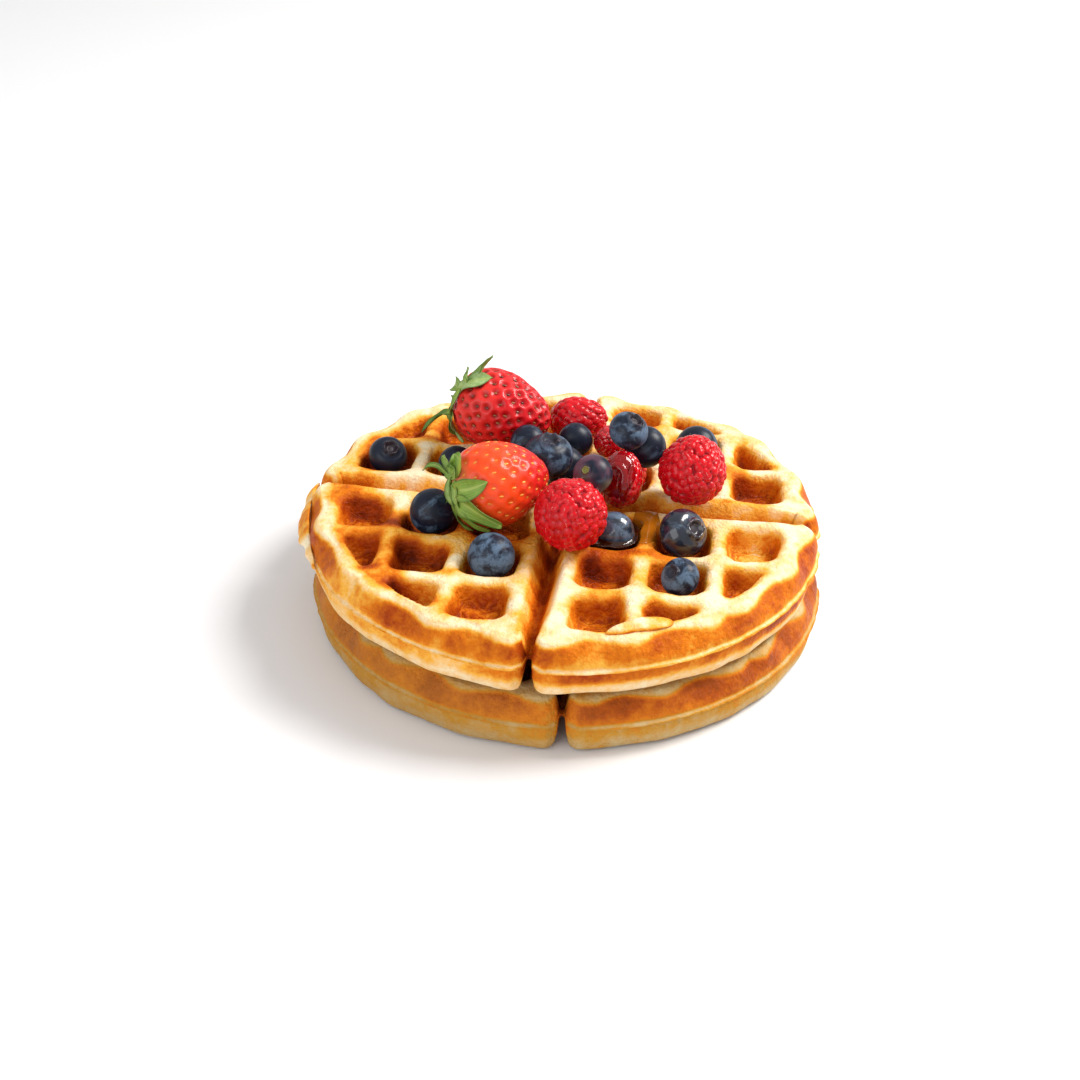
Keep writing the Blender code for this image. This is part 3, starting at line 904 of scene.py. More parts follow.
def make_waffle(name, node, settings, seed, deep, dull_and_shaded, place, turn, upper):
    """Builds a waffle and lays it in its place.

    The upper one has browned spots and pockets of differing tone, and its back edge sinks.
    """
    tones, spots = (UPPER_TONES, UPPER_SPOTS) if upper else ({}, ())
    points, faces, values = waffle_mesh(settings, seed, deep, tones, spots)
    if upper:
        fall = smooth_step(points[:, 1], BACK_DROP_START, BACK_DROP_END)
        points[:, 2] -= BACK_DROP * fall * (0.5 + points[:, 2] / THICKNESS)
    cos, sin = math.cos(turn), math.sin(turn)
    rotate = np.array([[cos, -sin, 0], [sin, cos, 0], [0, 0, 1]])
    points = points @ rotate.T + np.array(place)
    points[:, 2] = np.maximum(points[:, 2], 0.01 - CRUST_TOP)
    material = crust_material(name + " crust", settings, dull_and_shaded)
    put_mesh(name, points, faces, values, material, [node])


# The fruit


def node_points(node):
    """The points of a node of the frame, in mm over the crust."""
    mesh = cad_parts[node].data
    flat = np.empty(len(mesh.vertices) * 3, np.float32)
    mesh.vertices.foreach_get("co", flat)
    return flat.reshape(-1, 3) / MM - CRUST_MIDDLE


def fruit_size(node, direction):
    """A frame that points along the fruit, its middle, and its half width and half length."""
    turned = turn_to(direction)
    local = node_points(node) @ turned
    low, high = local.min(axis=0), local.max(axis=0)
    middle = (low + high) / 2
    across = np.hypot(local[:, 0] - middle[0], local[:, 1] - middle[1]).max()
    return turned, middle @ turned.T, across, (high[2] - low[2]) / 2


def blueberry_mesh(node, direction, seed, finish):
    """A flattened ball. Its crown is a ragged five-pointed rim round a small hollow.

    The rim is a bell curve of the distance from the berry's axis, and the hollow a step.
    """
    turned, middle, radius, _ = fruit_size(node, direction)
    size = 0.17 if finish == "unripe" else 0.36

    def surface(polar, turn):
        """Points of the skin, and how much they belong to the crown."""
        out = np.sin(polar)
        up = 0.88 * np.cos(polar)
        top = (polar < 1.2).astype(float)
        ragged = 0.5 + 0.5 * np.cos(5 * turn + seed) + 0.25 * np.cos(8 * turn + 2 * seed)
        share = out / size
        lip = size * 0.30 * np.exp(-(((share - 0.98) / 0.16) ** 2)) * (0.35 + 0.65 * ragged)
        hollow = size * 0.52 * smooth_step(share, 0.98, 0.45)
        dent = -0.05 * np.exp(-(((share - 1.5) / 0.4) ** 2))
        up = up + top * (lip - hollow + dent)
        wide = out * (1 + top * 0.10 * np.exp(-(((share - 1.05) / 0.14) ** 2)) * ragged)
        local = np.stack([wide * np.cos(turn), wide * np.sin(turn), up], axis=1)
        local *= 1 + 0.014 * cloud(local, 0.9, seed)[:, None]
        crown = top * smooth_step(share, 1.22, 0.92)
        return middle + radius * (local @ turned.T), {"crown": crown}

    return closed_ball(surface, 84, 90)


def blueberry_material(name, settings, bloom, finish):
    """Dark skin under patchy waxy bloom, with rubbed spots and tiny dark specks."""
    bench = Bench(name)
    patches = bench.grain(5.5, 4.0, 0.62, 0.6)
    low = 0.64 - 0.34 * bloom
    dusted = bench.between(patches, low, low + 0.20)
    scuffs = bench.between(bench.grain(1.4, 3.0, 0.6, 1.2), 0.54, 0.68)
    specks = bench.between(bench.cells(0.6), 0.10, 0.34)
    dusted = (dusted * (1 - 0.60 * scuffs) * (0.55 + 0.45 * specks)).clamped()
    skin = tuple(settings.blueberry_skin)
    waxy = tuple(settings.blueberry_bloom)
    colour = bench.mix(dusted * (0.40 + 0.60 * bloom), skin, waxy)
    if finish == "unripe":
        blush = bench.between(bench.grain(9.0, 2.0), 0.40, 0.58)
        colour = bench.mix(blush * 0.65, colour, (0.15, 0.055, 0.085))
        green = bench.between(bench.grain(11.0, 2.0), 0.50, 0.66)
        colour = bench.mix(green * 0.5, colour, (0.15, 0.15, 0.07))
        colour = bench.mix(bench.painted("crown") * 0.85, colour, (0.24, 0.25, 0.05))
    else:
        colour = bench.mix(bench.painted("crown") * 0.75, colour, (0.030, 0.018, 0.022))
    wet = finish == "wet"
    return bench.finish(
        Base_Color=colour,
        Roughness=0.36 + 0.22 * dusted,
        Specular_IOR_Level=0.25,
        Coat_Weight=1.0 if wet else 0.0,
        Coat_Roughness=0.04,
        Normal=bench.bump(bench.grain(0.8, 3.0) + specks * 0.3, 0.3, 0.12),
    )


def raspberry_mesh(node, direction, count, swell, seed):
    """A ball that narrows to its apex, covered with round drupelets.

    Each point's height follows the dome of its nearest drupelet, a half circle of the
    angle between them.
    """
    turned, middle, across, length = fruit_size(node, direction)
    radius = swell * across / 0.935
    length = swell * length
    centres = spread(count, seed, 0.50)
    reach = 1.22 * math.sqrt(4.0 / count)
    draw = np.random.default_rng(seed + 1)
    heights = 1 + draw.uniform(-0.022, 0.022, count)

    def shape(unit):
        """A ball drawn out to the fruit's size and narrowed to its apex."""
        wide = radius * (1 - 0.14 * (unit[:, 2] + 1) / 2)
        return unit * np.stack([wide, wide, np.full(len(unit), length * 1.02)], axis=1)

    def surface(polar, turn):
        """Points of the drupelets, and how deep they lie between them."""
        unit = unit_ball(polar, turn)
        near = unit @ centres.T
        nearest = near.argmax(axis=1)
        angle = np.arccos(np.clip(near.max(axis=1), -1, 1))
        dome = np.sqrt(np.clip(1 - (angle / reach) ** 2, 0.0, 1))
        lumps = 1 + 0.03 * cloud(unit, 0.8, seed)
        lift = (0.905 + 0.105 * dome) * heights[nearest] * lumps
        # How deep a point lies between the drupelets; the material paints shade there
        crevice = 1 - smooth_step(dome, 0.10, 0.72)
        return middle + (shape(unit) * lift[:, None]) @ turned.T, {"crevice": crevice}

    points, faces, values = closed_ball(surface, 150, 210)
    tips = middle + (shape(centres) * heights[:, None]) @ turned.T
    return points, faces, values, tips, centres @ turned.T


def raspberry_material(name, settings, finish):
    """Juicy translucent red, with painted shade between the drupelets, where it is also duller."""
    bench = Bench(name)
    crevice = bench.painted("crevice")
    cloudy = bench.grain(5.0, 3.0) - 0.5
    red = tuple(settings.raspberry)
    # Painted shade between the drupelets: this darker red fills the crevices
    deep = (0.20, 0.001, 0.006) if finish == "dry" else (0.11, 0.001, 0.003)
    dark = [0.60 * red[0], 0.4 * red[1], 0.5 * red[2]]
    flush = bench.mix((0.45 + cloudy * 1.8).clamped(), red, dark)
    colour = bench.mix(crevice * 0.65, flush, deep)
    dusty = bench.between(bench.grain(0.8, 3.0, 0.7), 0.60, 0.70) * (1 - crevice)
    if finish == "dry":
        colour = bench.mix(dusty * 0.12, colour, (0.80, 0.20, 0.24))
    return bench.finish(
        Base_Color=colour,
        Roughness=(0.24 if finish == "dry" else 0.14) + 0.25 * crevice,
        Specular_IOR_Level=0.25,
        Coat_Weight=0.12 if finish == "dry" else 1.0,
        Coat_Roughness=0.08,
        Subsurface_Weight=0.18,
        Subsurface_Radius=(1.0, 0.12, 0.10),
        Subsurface_Scale=0.002,
        Normal=bench.bump(bench.grain(0.45, 2.0), 0.2, 0.08),
    )


def hair_mesh(tips, normals, seed, keep):
    """Hairs on some drupelets: three-sided tubes, bent sideways by the square of their length."""
    draw = np.random.default_rng(seed)
    chosen = draw.random(len(tips)) < keep
    tips = tips[chosen]
    normals = normals[chosen]
    count = len(tips)
    sideways = unit_length(np.cross(normals, draw.normal(size=(count, 3))))
    length = draw.uniform(0.8, 2.0, count)[:, None]
    rings = []
    for step in np.linspace(0, 1, 5):
        bend = sideways * (0.75 * step**2) * length
        centre = tips - 0.25 * normals + normals * (step * (1 - 0.4 * step)) * length + bend
        thin = 0.06 * (1 - 0.75 * step)
        third = np.cross(normals, sideways)
        ring = [
            centre + thin * (math.cos(corner) * sideways + math.sin(corner) * third)
            for corner in (0.0, 2 * math.pi / 3, 4 * math.pi / 3)
        ]
        rings.append(np.stack(ring, axis=1))
    points = np.stack(rings, axis=1).reshape(-1, 3)
    pattern = []
    for level in range(4):
        for side in range(3):
            after = (side + 1) % 3
            low, high = level * 3, level * 3 + 3
            pattern.append([low + side, low + after, high + after, high + side])
    quads = (np.array(pattern)[None] + 15 * np.arange(count)[:, None, None]).reshape(-1, 4).tolist()
    ends = np.array([[2, 1, 0], [12, 13, 14]])[None] + 15 * np.arange(count)[:, None, None]
    return points, quads + ends.reshape(-1, 3).tolist(), {}


def hair_material():
    """Pale hairs, redder in places."""
    bench = Bench("Raspberry hairs")
    colour = bench.mix(bench.grain(2.0), (0.80, 0.30, 0.24), (0.95, 0.70, 0.58))
    return bench.finish(Base_Color=colour, Roughness=0.5)


def strawberry_surface(polar, turn, radius, length):
    """A blunt egg: radius sin(a) (1 + 0.2 cos(a)) across, length cos(a) along, less a dimple."""
    out = radius * np.sin(polar) * (1 + 0.2 * np.cos(polar))
    up = length * np.cos(polar) - 1.6 * np.exp(-((polar / 0.35) ** 2))
    return np.stack([out * np.cos(turn), out * np.sin(turn), up], axis=1)


def strawberry_size(node, direction):
    """Its frame, and the middle, radius and half length of the egg that fills the node."""
    turned, middle, across, half = fruit_size(node, direction)
    return turned, middle + turned[:, 2] * 0.8, across / 1.019, half + 0.8


def seed_places(count, seed):
    """Polar and turn angles of the seeds, in a spiral, none under the leaves."""
    places = spread(count, seed, 0.35)
    places = places[places[:, 2] < 0.90]
    return np.arccos(places[:, 2]), np.arctan2(places[:, 1], places[:, 0])


def strawberry_mesh(node, direction, count, kind, seed):
    """The egg with a pit at each seed, as deep as a bell curve of the distance to it."""
    turned, middle, radius, length = strawberry_size(node, direction)
    seed_polar, seed_turn = seed_places(count, seed)
    pits = strawberry_surface(seed_polar, seed_turn, radius, length)
    deep, wide = (0.75, 1.2) if kind == "red" else (0.36, 0.85)

    def surface(polar, turn):
        """Points of the flesh, how much they lie in a pit, and how near the leafy end."""
        local = strawberry_surface(polar, turn, radius, length)
        outward = unit_length(local)
        nearest = np.full(len(local), 99.0)
        for start in range(0, len(pits), 40):
            gap = np.linalg.norm(local[:, None] - pits[None, start : start + 40], axis=2)
            nearest = np.minimum(nearest, gap.min(axis=1))
        pit = np.exp(-((nearest / wide) ** 2))
        bulge = 0.22 * smooth_step(nearest, 0.9, 2.2)
        lumps = 0.28 * cloud(local, 7.0, seed)
        local = local + outward * (lumps + bulge - 0.15 - deep * pit)[:, None]
        return middle + local @ turned.T, {"pit": pit, "ripe": np.cos(polar)}

    points, faces, values = closed_ball(surface, 160, 220)
    pits = pits - unit_length(pits) * (deep - 0.40)
    return points, faces, values, middle + pits @ turned.T, turned, middle


def strawberry_material(name, settings, kind):
    """Shiny red skin, paler at the leafy end, with painted shade darkening the pits of the ripe fruit.
    """
    bench = Bench(name)
    ripe = bench.painted("ripe")
    pit = bench.painted("pit")
    cloudy = bench.grain(7.0, 3.0) - 0.5
    if kind == "red":
        body = tuple(settings.strawberry)
        light = (0.76, 0.036, 0.026)
        colour = bench.mix((bench.between(ripe, -0.4, 0.9) + cloudy * 1.0).clamped(), body, light)
        # Painted shade: the pits of the ripe fruit are mixed towards a near-black red
        colour = bench.mix(pit * 0.9, colour, (0.20, 0.002, 0.003))
    else:
        body = tuple(settings.coral)
        red = (0.60, 0.008, 0.010)
        salmon = (0.86, 0.24, 0.12)
        colour = bench.mix((bench.between(ripe, 0.10, -0.75) + cloudy * 0.7).clamped(), body, red)
        colour = bench.mix((bench.between(ripe, 0.62, 0.97) + cloudy * 0.4).clamped(), colour, salmon)
        colour = bench.mix(pit * 0.35, colour, (0.80, 0.16, 0.012))
    return bench.finish(
        Base_Color=colour,
        Roughness=0.26 + 0.20 * bench.grain(1.2, 2.0),
        Specular_IOR_Level=0.22,
        Coat_Weight=0.18,
        Coat_Roughness=0.10,
        Subsurface_Weight=0.10,
        Subsurface_Radius=(1.0, 0.2, 0.1),
        Subsurface_Scale=0.0015,
        Normal=bench.bump(bench.grain(0.7, 3.0), 0.35, 0.15),
    )


def seed_mesh(pits, middle, turned, seed):
    """Small pointed ovals that lie in the pits, long side along the fruit."""
    draw = np.random.default_rng(seed)
    outward = unit_length(pits - middle)
    along = unit_length(turned[:, 2] - outward * (outward @ turned[:, 2])[:, None])
    across = np.cross(outward, along)
    size = draw.uniform(0.75, 0.95, len(pits))[:, None, None]
    polar = np.repeat(np.linspace(0.45, math.pi - 0.45, 4), 8)
    turn = np.tile(np.arange(8) * math.pi / 4, 4)
    unit = unit_ball(polar, turn)[:, [0, 2, 1]] * (0.42, 0.85, 0.30)
    unit = np.concatenate([unit, [[0, 0.95, 0], [0, -0.95, 0]]])
    frames = np.stack([across, along, outward], axis=2)
    points = (pits - 0.42 * outward)[:, None] + size * np.einsum("nij,kj->nki", frames, unit)
    per_seed = len(unit)
    template = ring_faces(4, 8)
    faces = [
        [index + start for index in face]
        for start in range(0, per_seed * len(pits), per_seed)
        for face in template
    ]
    tone = np.repeat(draw.random(len(pits)), per_seed)
    return points.reshape(-1, 3), faces, {"tone": tone}


def seed_material(name, kind):
    """Seeds from dark to pale brown on the ripe fruit, golden on the paler one."""
    bench = Bench(name)
    tone = bench.painted("tone")
    if kind == "red":
        colour = bench.mix(tone, (0.09, 0.014, 0.004), (0.36, 0.13, 0.03))
    else:
        colour = bench.mix(tone, (0.90, 0.42, 0.05), (0.70, 0.20, 0.02))
    return bench.finish(Base_Color=colour, Roughness=0.35, Coat_Weight=0.3)


# Leaves: the width, how much the edges curl up and how green it is, from 0 for pale to
# 1 for deep green, and then points along the rib
BACK_LEAVES = (
    (
        (2.5, 0.5, 0.35),
        (
            (-38.0, 28.6, 26.4),
            (-34.6, 29.4, 28.2),
            (-32.4, 30.2, 31.4),
            (-30.3, 29.6, 34.4),
            (-29.4, 28.0, 36.2),
        ),
    ),
    (
        (2.7, 0.3, 0.3),
        ((-38.6, 28.0, 25.8), (-38.2, 28.6, 29.0), (-37.6, 28.2, 31.6)),
    ),
    (
        (4.9, 0.15, 0.1),
        ((-41.0, 27.2, 22.8), (-38.0, 26.4, 25.9), (-34.0, 26.0, 27.9), (-29.2, 26.2, 29.0)),
    ),
    (
        (1.9, 0.4, 0.45),
        ((-40.2, 26.2, 23.9), (-42.0, 24.9, 19.8), (-43.4, 25.2, 15.6), (-43.3, 25.4, 12.6)),
    ),
    (
        (3.4, 0.2, 0.2),
        ((-43.2, 25.6, 15.2), (-43.2, 25.0, 11.8), (-41.6, 24.4, 8.4), (-38.7, 23.0, 4.8)),
    ),
    (
        (2.0, 0.6, 0.95),
        ((-43.2, 26.2, 14.6), (-46.8, 26.2, 13.0), (-50.8, 24.8, 10.0), (-54.0, 23.6, 6.4)),
    ),
    (
        (3.4, 0.3, 0.6),
        ((-41.2, 28.0, 23.0), (-43.4, 33.0, 22.0), (-43.0, 38.6, 20.0)),
    ),
    (
        (3.6, 0.3, 0.7),
        ((-43.2, 29.0, 17.0), (-44.4, 35.0, 13.0), (-42.0, 40.4, 8.4)),
    ),
    (
        (3.2, 0.3, 0.6),
        ((-43.2, 27.0, 15.4), (-44.6, 29.0, 9.0), (-42.0, 30.4, 3.0)),
    ),
)
FRONT_LEAVES = (
    (
        (3.6, 0.5, 0.35),
        ((-32.4, -27.0, 19.2), (-33.8, -24.4, 21.0), (-36.0, -22.6, 23.4), (-37.4, -22.0, 25.0)),
    ),
    (
        (4.6, 0.9, 0.45),
        ((-32.2, -27.2, 19.6), (-31.0, -26.0, 22.2), (-31.6, -24.0, 24.6), (-33.6, -22.0, 25.6)),
    ),
    (
        (4.9, 0.35, 0.55),
        ((-32.0, -29.2, 16.4), (-28.6, -31.6, 18.0), (-25.0, -32.6, 20.0), (-21.0, -32.4, 22.2)),
    ),
    (
        (5.4, 0.35, 0.6),
        ((-31.4, -30.0, 13.2), (-27.4, -33.0, 13.0), (-22.2, -34.6, 10.8), (-16.2, -33.2, 6.8)),
    ),
    (
        (3.2, 0.3, 0.65),
        ((-31.6, -29.4, 12.0), (-28.6, -31.6, 8.8), (-24.8, -32.2, 5.9), (-20.4, -30.4, 2.9)),
    ),
    (
        (2.8, 0.3, 0.95),
        ((-32.4, -28.4, 11.0), (-31.4, -28.4, 6.2), (-28.8, -28.6, 3.0), (-26.2, -28.6, 1.2)),
    ),
    (
        (1.2, 0.3, 0.85),
        ((-34.2, -24.6, 18.4), (-38.0, -23.6, 21.0), (-41.6, -23.4, 21.0), (-44.0, -23.4, 18.8)),
    ),
    (
        (2.9, 0.5, 0.3),
        ((-33.6, -25.6, 19.2), (-34.0, -26.4, 15.4), (-33.2, -28.0, 11.6), (-30.6, -29.4, 8.0)),
    ),
    (
        (2.7, 0.3, 0.35),
        ((-32.2, -27.6, 19.0), (-32.2, -29.0, 15.8), (-31.2, -30.6, 12.4), (-29.4, -31.6, 10.2)),
    ),
    (
        (3.4, 0.3, 0.7),
        ((-34.0, -23.6, 18.0), (-36.0, -18.0, 17.0), (-34.6, -12.0, 15.0)),
    ),
    (
        (3.4, 0.3, 0.7),
        ((-34.6, -23.0, 12.0), (-36.2, -18.6, 7.6), (-33.6, -14.6, 4.0)),
    ),
)
LEAVES = {
    "calyx_back": ("strawberry_back", BACK_LEAVES),
    "calyx_front": ("strawberry_front", FRONT_LEAVES),
}


def smooth_path(points, count):
    """A smooth line through points, each piece a cubic that meets its neighbours' slopes."""
    points = np.array(points, float)
    padded = np.concatenate([2 * points[:1] - points[1:2], points, 2 * points[-1:] - points[-2:-1]])
    place = np.linspace(0, len(points) - 1 - 1e-9, count)
    piece = place.astype(int)
    share = (place - piece)[:, None]
    before, start, end, beyond = (padded[piece + step] for step in range(4))
    slope_in = (end - before) / 2
    slope_out = (beyond - start) / 2
    cube, square = share**3, share**2
    value = (2 * cube - 3 * square + 1) * start + (cube - 2 * square + share) * slope_in
    return value + (3 * square - 2 * cube) * end + (cube - square) * slope_out


def sheet_faces(rows, columns):
    """Faces of a closed sheet: a grid, the same grid behind it, and the strip between."""
    count = rows * columns
    row = np.arange(rows - 1)[:, None] * columns + np.arange(columns - 1)[None, :]
    quads = np.stack([row, row + columns, row + columns + 1, row + 1], axis=-1).reshape(-1, 4)
    border = np.concatenate(
        [
            np.arange(columns - 1),
            np.arange(rows - 1) * columns + columns - 1,
            (rows - 1) * columns + np.arange(columns - 1, 0, -1),
            np.arange(rows - 1, 0, -1) * columns,
        ]
    )
    after = np.roll(border, -1)
    faces = quads.tolist() + (quads[:, ::-1] + count).tolist()
    return faces + np.stack([border, after, after + count, border + count], axis=1).tolist()


def leaf_mesh(middle, leaf, seed):
    """One leaf: a strip along its rib, widest before its middle and pointed at its tip.

    Its edges curl away from the fruit with the square of the distance from the rib, and
    it ripples along its length.
    """
    (width, curl, green), path = leaf
    width = LEAF_BROADENING * width
    rows, columns = 30, 11
    rib = smooth_path(path, rows)
    ahead, outward = frame_along(rib, middle)
    sideways = np.cross(outward, ahead)
    rib = rib + LEAF_LIFT * outward
    share = np.linspace(0, 1, rows)
    belly = 0.98 * np.sin(np.pi * share**0.85).clip(0) ** 0.75
    broad = width / 2 * (belly + 0.30 * (1 - share) ** 2 + 0.02)
    across = np.linspace(-1, 1, columns)
    wave = 0.10 * width * np.sin(share * 8 + seed)[:, None] * across[None, :]
    lift = curl * (across**2)[None, :] * broad[:, None] + wave
    lift = lift - 0.05 * width * np.exp(-((across / 0.16) ** 2))[None, :] * (1 - share)[:, None]
    grid = rib[:, None] + sideways[:, None] * (broad[:, None] * across[None, :])[..., None]
    grid = grid + outward[:, None] * lift[..., None]
    behind = grid - outward[:, None] * LEAF_THICKNESS
    points = np.concatenate([grid.reshape(-1, 3), behind.reshape(-1, 3)])
    size = rows * columns
    values = {
        "vein": np.tile(np.tile(np.abs(across), rows), 2),
        "along": np.tile(np.repeat(share, columns), 2),
        "green": np.full(2 * size, green),
    }
    return points, sheet_faces(rows, columns), values


def leaf_material(name, settings):
    """Matt green, yellower at the rib and base, with fine lengthwise veins."""
    bench = Bench(name)
    vein = bench.painted("vein")
    along = bench.painted("along")
    green = bench.painted("green")
    cloudy = bench.grain(2.6, 4.0, 0.6)
    fresh = tuple(settings.leaf)
    deep = (0.050, 0.150, 0.010)
    pale = (0.36, 0.50, 0.23)
    colour = bench.mix(bench.between(green, 0.0, 0.5), pale, fresh)
    colour = bench.mix(bench.between(green, 0.5, 1.0), colour, deep)
    colour = bench.mix(bench.between(cloudy, 0.60, 0.36) * 0.6, colour, (0.12, 0.22, 0.02))
    lines = bench.between(bench.sine(vein * 26.0), 0.2, 0.9)
    colour = bench.mix(lines * 0.22, colour, (0.42, 0.52, 0.12))
    colour = bench.mix(bench.between(vein, 0.30, 0.0) * 0.5, colour, (0.46, 0.56, 0.14))
    colour = bench.mix(bench.between(along, 0.35, 0.0) * 0.35, colour, (0.40, 0.50, 0.08))
    colour = bench.mix(bench.between(vein, 0.72, 1.0) * 0.55, colour, (0.045, 0.105, 0.008))
    spots = bench.between(bench.grain(1.1, 2.0), 0.66, 0.72)
    colour = bench.mix(spots * 0.6, colour, (0.20, 0.10, 0.02))
    return bench.finish(
        Base_Color=colour,
        Roughness=0.55,
        Normal=bench.bump(bench.grain(0.9, 4.0) + lines * 0.4, 0.4, 0.18),
    )


# Syrup


def syrup_material(name, colour, opacity):
    """Syrup: mirror smooth and coated, with what lies under it seen through by 1 - opacity."""
    bench = Bench(name)
    deep = bench.mix(bench.grain(6.0, 2.0), colour, tuple(0.55 * channel for channel in colour))
    return bench.finish(
        Base_Color=deep,
        Roughness=0.05,
        Alpha=opacity,
        Coat_Weight=0.25,
        Coat_Roughness=0.02,
        IOR=1.48,
    )


def film_mesh(x, y, top, side, gap):
    """A closed film over side by side places: its top face, and the same face lower down."""
    upper = np.stack([x, y, top], axis=1)
    lower = np.stack([x, y, top - gap], axis=1)
    return np.concatenate([upper, lower]), sheet_faces(side, side)


def disc_places(middle, reach_x, reach_y, side):
    """A square grid drawn onto an oval: u and v become u sqrt(1 - v²/2) and v sqrt(1 - u²/2)."""
    line = np.linspace(-1, 1, side)
    u, v = (values.ravel() for values in np.meshgrid(line, line, indexing="ij"))
    x = u * np.sqrt(1 - v * v / 2)
    y = v * np.sqrt(1 - u * u / 2)
    return middle[0] + reach_x * x, middle[1] + reach_y * y, np.hypot(x, y)


def pool_mesh():
    """Syrup standing in the pocket round blueberry_05.

    It is drawn up at the berry by an exponential of the gap, and at the walls by a step.
    """
    middle = (FIRST_POCKET, -FIRST_POCKET)
    side = 61
    x, y, share = disc_places(middle, POOL_REACH, POOL_REACH, side)
    square = 1 + 0.12 * np.abs(np.sin(2 * np.arctan2(y - middle[1], x - middle[0]))) * share**3
    x = middle[0] + (x - middle[0]) * square
    y = middle[1] + (y - middle[1]) * square
    _, berry, radius, _ = fruit_size("blueberry_05", BLUEBERRIES["blueberry_05"][0])
    gap = np.hypot(x - berry[0], y - berry[1]) - radius * 0.93
    rise = 1.2 * np.exp(-np.maximum(gap, 0) / 0.7) + 1.1 * smooth_step(share, 0.82, 1.0)
    level = POOL_LEVEL + rise
    points = np.stack([x, y, level], axis=1)
    level += 0.12 * cloud(points, 4.0, 3)
    return film_mesh(x, y, level, side, 0.6)


def wet_patch_mesh(settings, middle, reach_x, reach_y, thick, seed):
    """A film that follows the crust, as thick as a half circle over its uneven oval."""
    side = 56
    x, y, share = disc_places(middle, reach_x, reach_y, side)
    points = np.stack([x, y, np.zeros_like(x)], axis=1)
    x = x + 0.9 * cloud(points, 6.0, seed) * share
    y = y + 0.9 * cloud(points, 6.0, seed + 1) * share
    crust = crust_height(x, y, settings, UPPER_SEED)
    bulge = thick * np.sqrt(np.clip(1 - share**2, 0, 1)) * (1 + 0.3 * cloud(points, 4.0, seed + 2))
    return film_mesh(x, y, crust + 0.02 + bulge, side, 0.5)


def glaze_mesh(node, direction, facing, spread_angle, thick, phase):
    """A lobe of syrup on a berry: a round patch of its ball, standing off by thick.

    Its outline is a circle with two and three waves, and it falls off steeply to its edge.
    """
    turned, middle, radius, length = fruit_size(node, direction)
    aim = turn_to(facing)
    rows, columns = 34, 72
    share = np.repeat((np.arange(rows) + 0.5) / rows, columns)
    turn = np.tile(np.arange(columns) * 2 * math.pi / columns, rows)

    def shell(share, turn, lift):
        """Points over the berry, lift times as far from its middle as its own surface."""
        wide = spread_angle * (1 + 0.22 * np.cos(2 * turn + 0.6) + 0.12 * np.cos(3 * turn + phase))
        unit = unit_ball(share * wide, turn) @ aim.T
        local = unit @ turned
        across = (local[:, 0] ** 2 + local[:, 1] ** 2) / radius**2
        size = 1 / np.sqrt(across + local[:, 2] ** 2 / length**2)
        return middle + unit * (size * lift)[:, None]

    edge = np.sqrt(np.clip(1 - share**4, 0, 1))
    wave = 1 + 0.25 * np.sin(3 * turn + 6 * share)
    outer = shell(share, turn, 0.955 + thick / radius * edge * wave)
    inner = shell(share, turn, np.full(len(share), 0.90))
    inner = inner.reshape(rows, columns, 3)[::-1].reshape(-1, 3)
    ends = shell(np.full(2, 1e-3), np.zeros(2), np.array([0.955 + thick / radius, 0.90]))
    return np.concatenate([outer, inner, ends]), ring_faces(2 * rows, columns)


# Runs of syrup down the raspberry, as points along each one, its half width and its height
RUNS = (
    (
        (
            (15.7, -6.6, 16.2),
            (17.7, -6.0, 17.2),
            (19.7, -6.5, 16.8),
            (20.9, -7.9, 14.8),
            (20.8, -9.3, 12.2),
            (21.0, -9.9, 9.2),
            (21.2, -9.6, 5.0),
        ),
        1.7,
        0.9,
    ),
    (
        (
            (23.0, -4.4, 17.4),
            (22.6, -6.2, 16.2),
            (22.1, -8.3, 13.6),
            (22.1, -9.3, 11.2),
            (21.7, -9.8, 7.6),
        ),
        0.6,
        0.7,
    ),
)


def run_mesh(path, wide, high, seed):
    """A run of syrup: a tube with an oval section, blunt ends and a slight swell and ebb."""
    rows, columns = 60, 16
    spine = smooth_path(path, rows)
    middle = fruit_size("raspberry_2", RASPBERRIES["raspberry_2"][0])[1]
    ahead, outward = frame_along(spine, middle)
    sideways = np.cross(ahead, outward)
    share = np.linspace(0, 1, rows)
    size = np.sin(np.pi * np.clip(share, 0.01, 0.99)) ** 0.35 * (1 + 0.15 * np.sin(9 * share + seed))
    around = np.arange(columns) * 2 * math.pi / columns
    across = (size * wide)[:, None] * np.cos(around)[None, :]
    up = (size * high)[:, None] * np.sin(around)[None, :]
    points = spine[:, None] + sideways[:, None] * across[..., None] + outward[:, None] * up[..., None]
    return np.concatenate([points.reshape(-1, 3), spine[[0, -1]]]), ring_faces(rows, columns), {}


# Scraps of batter


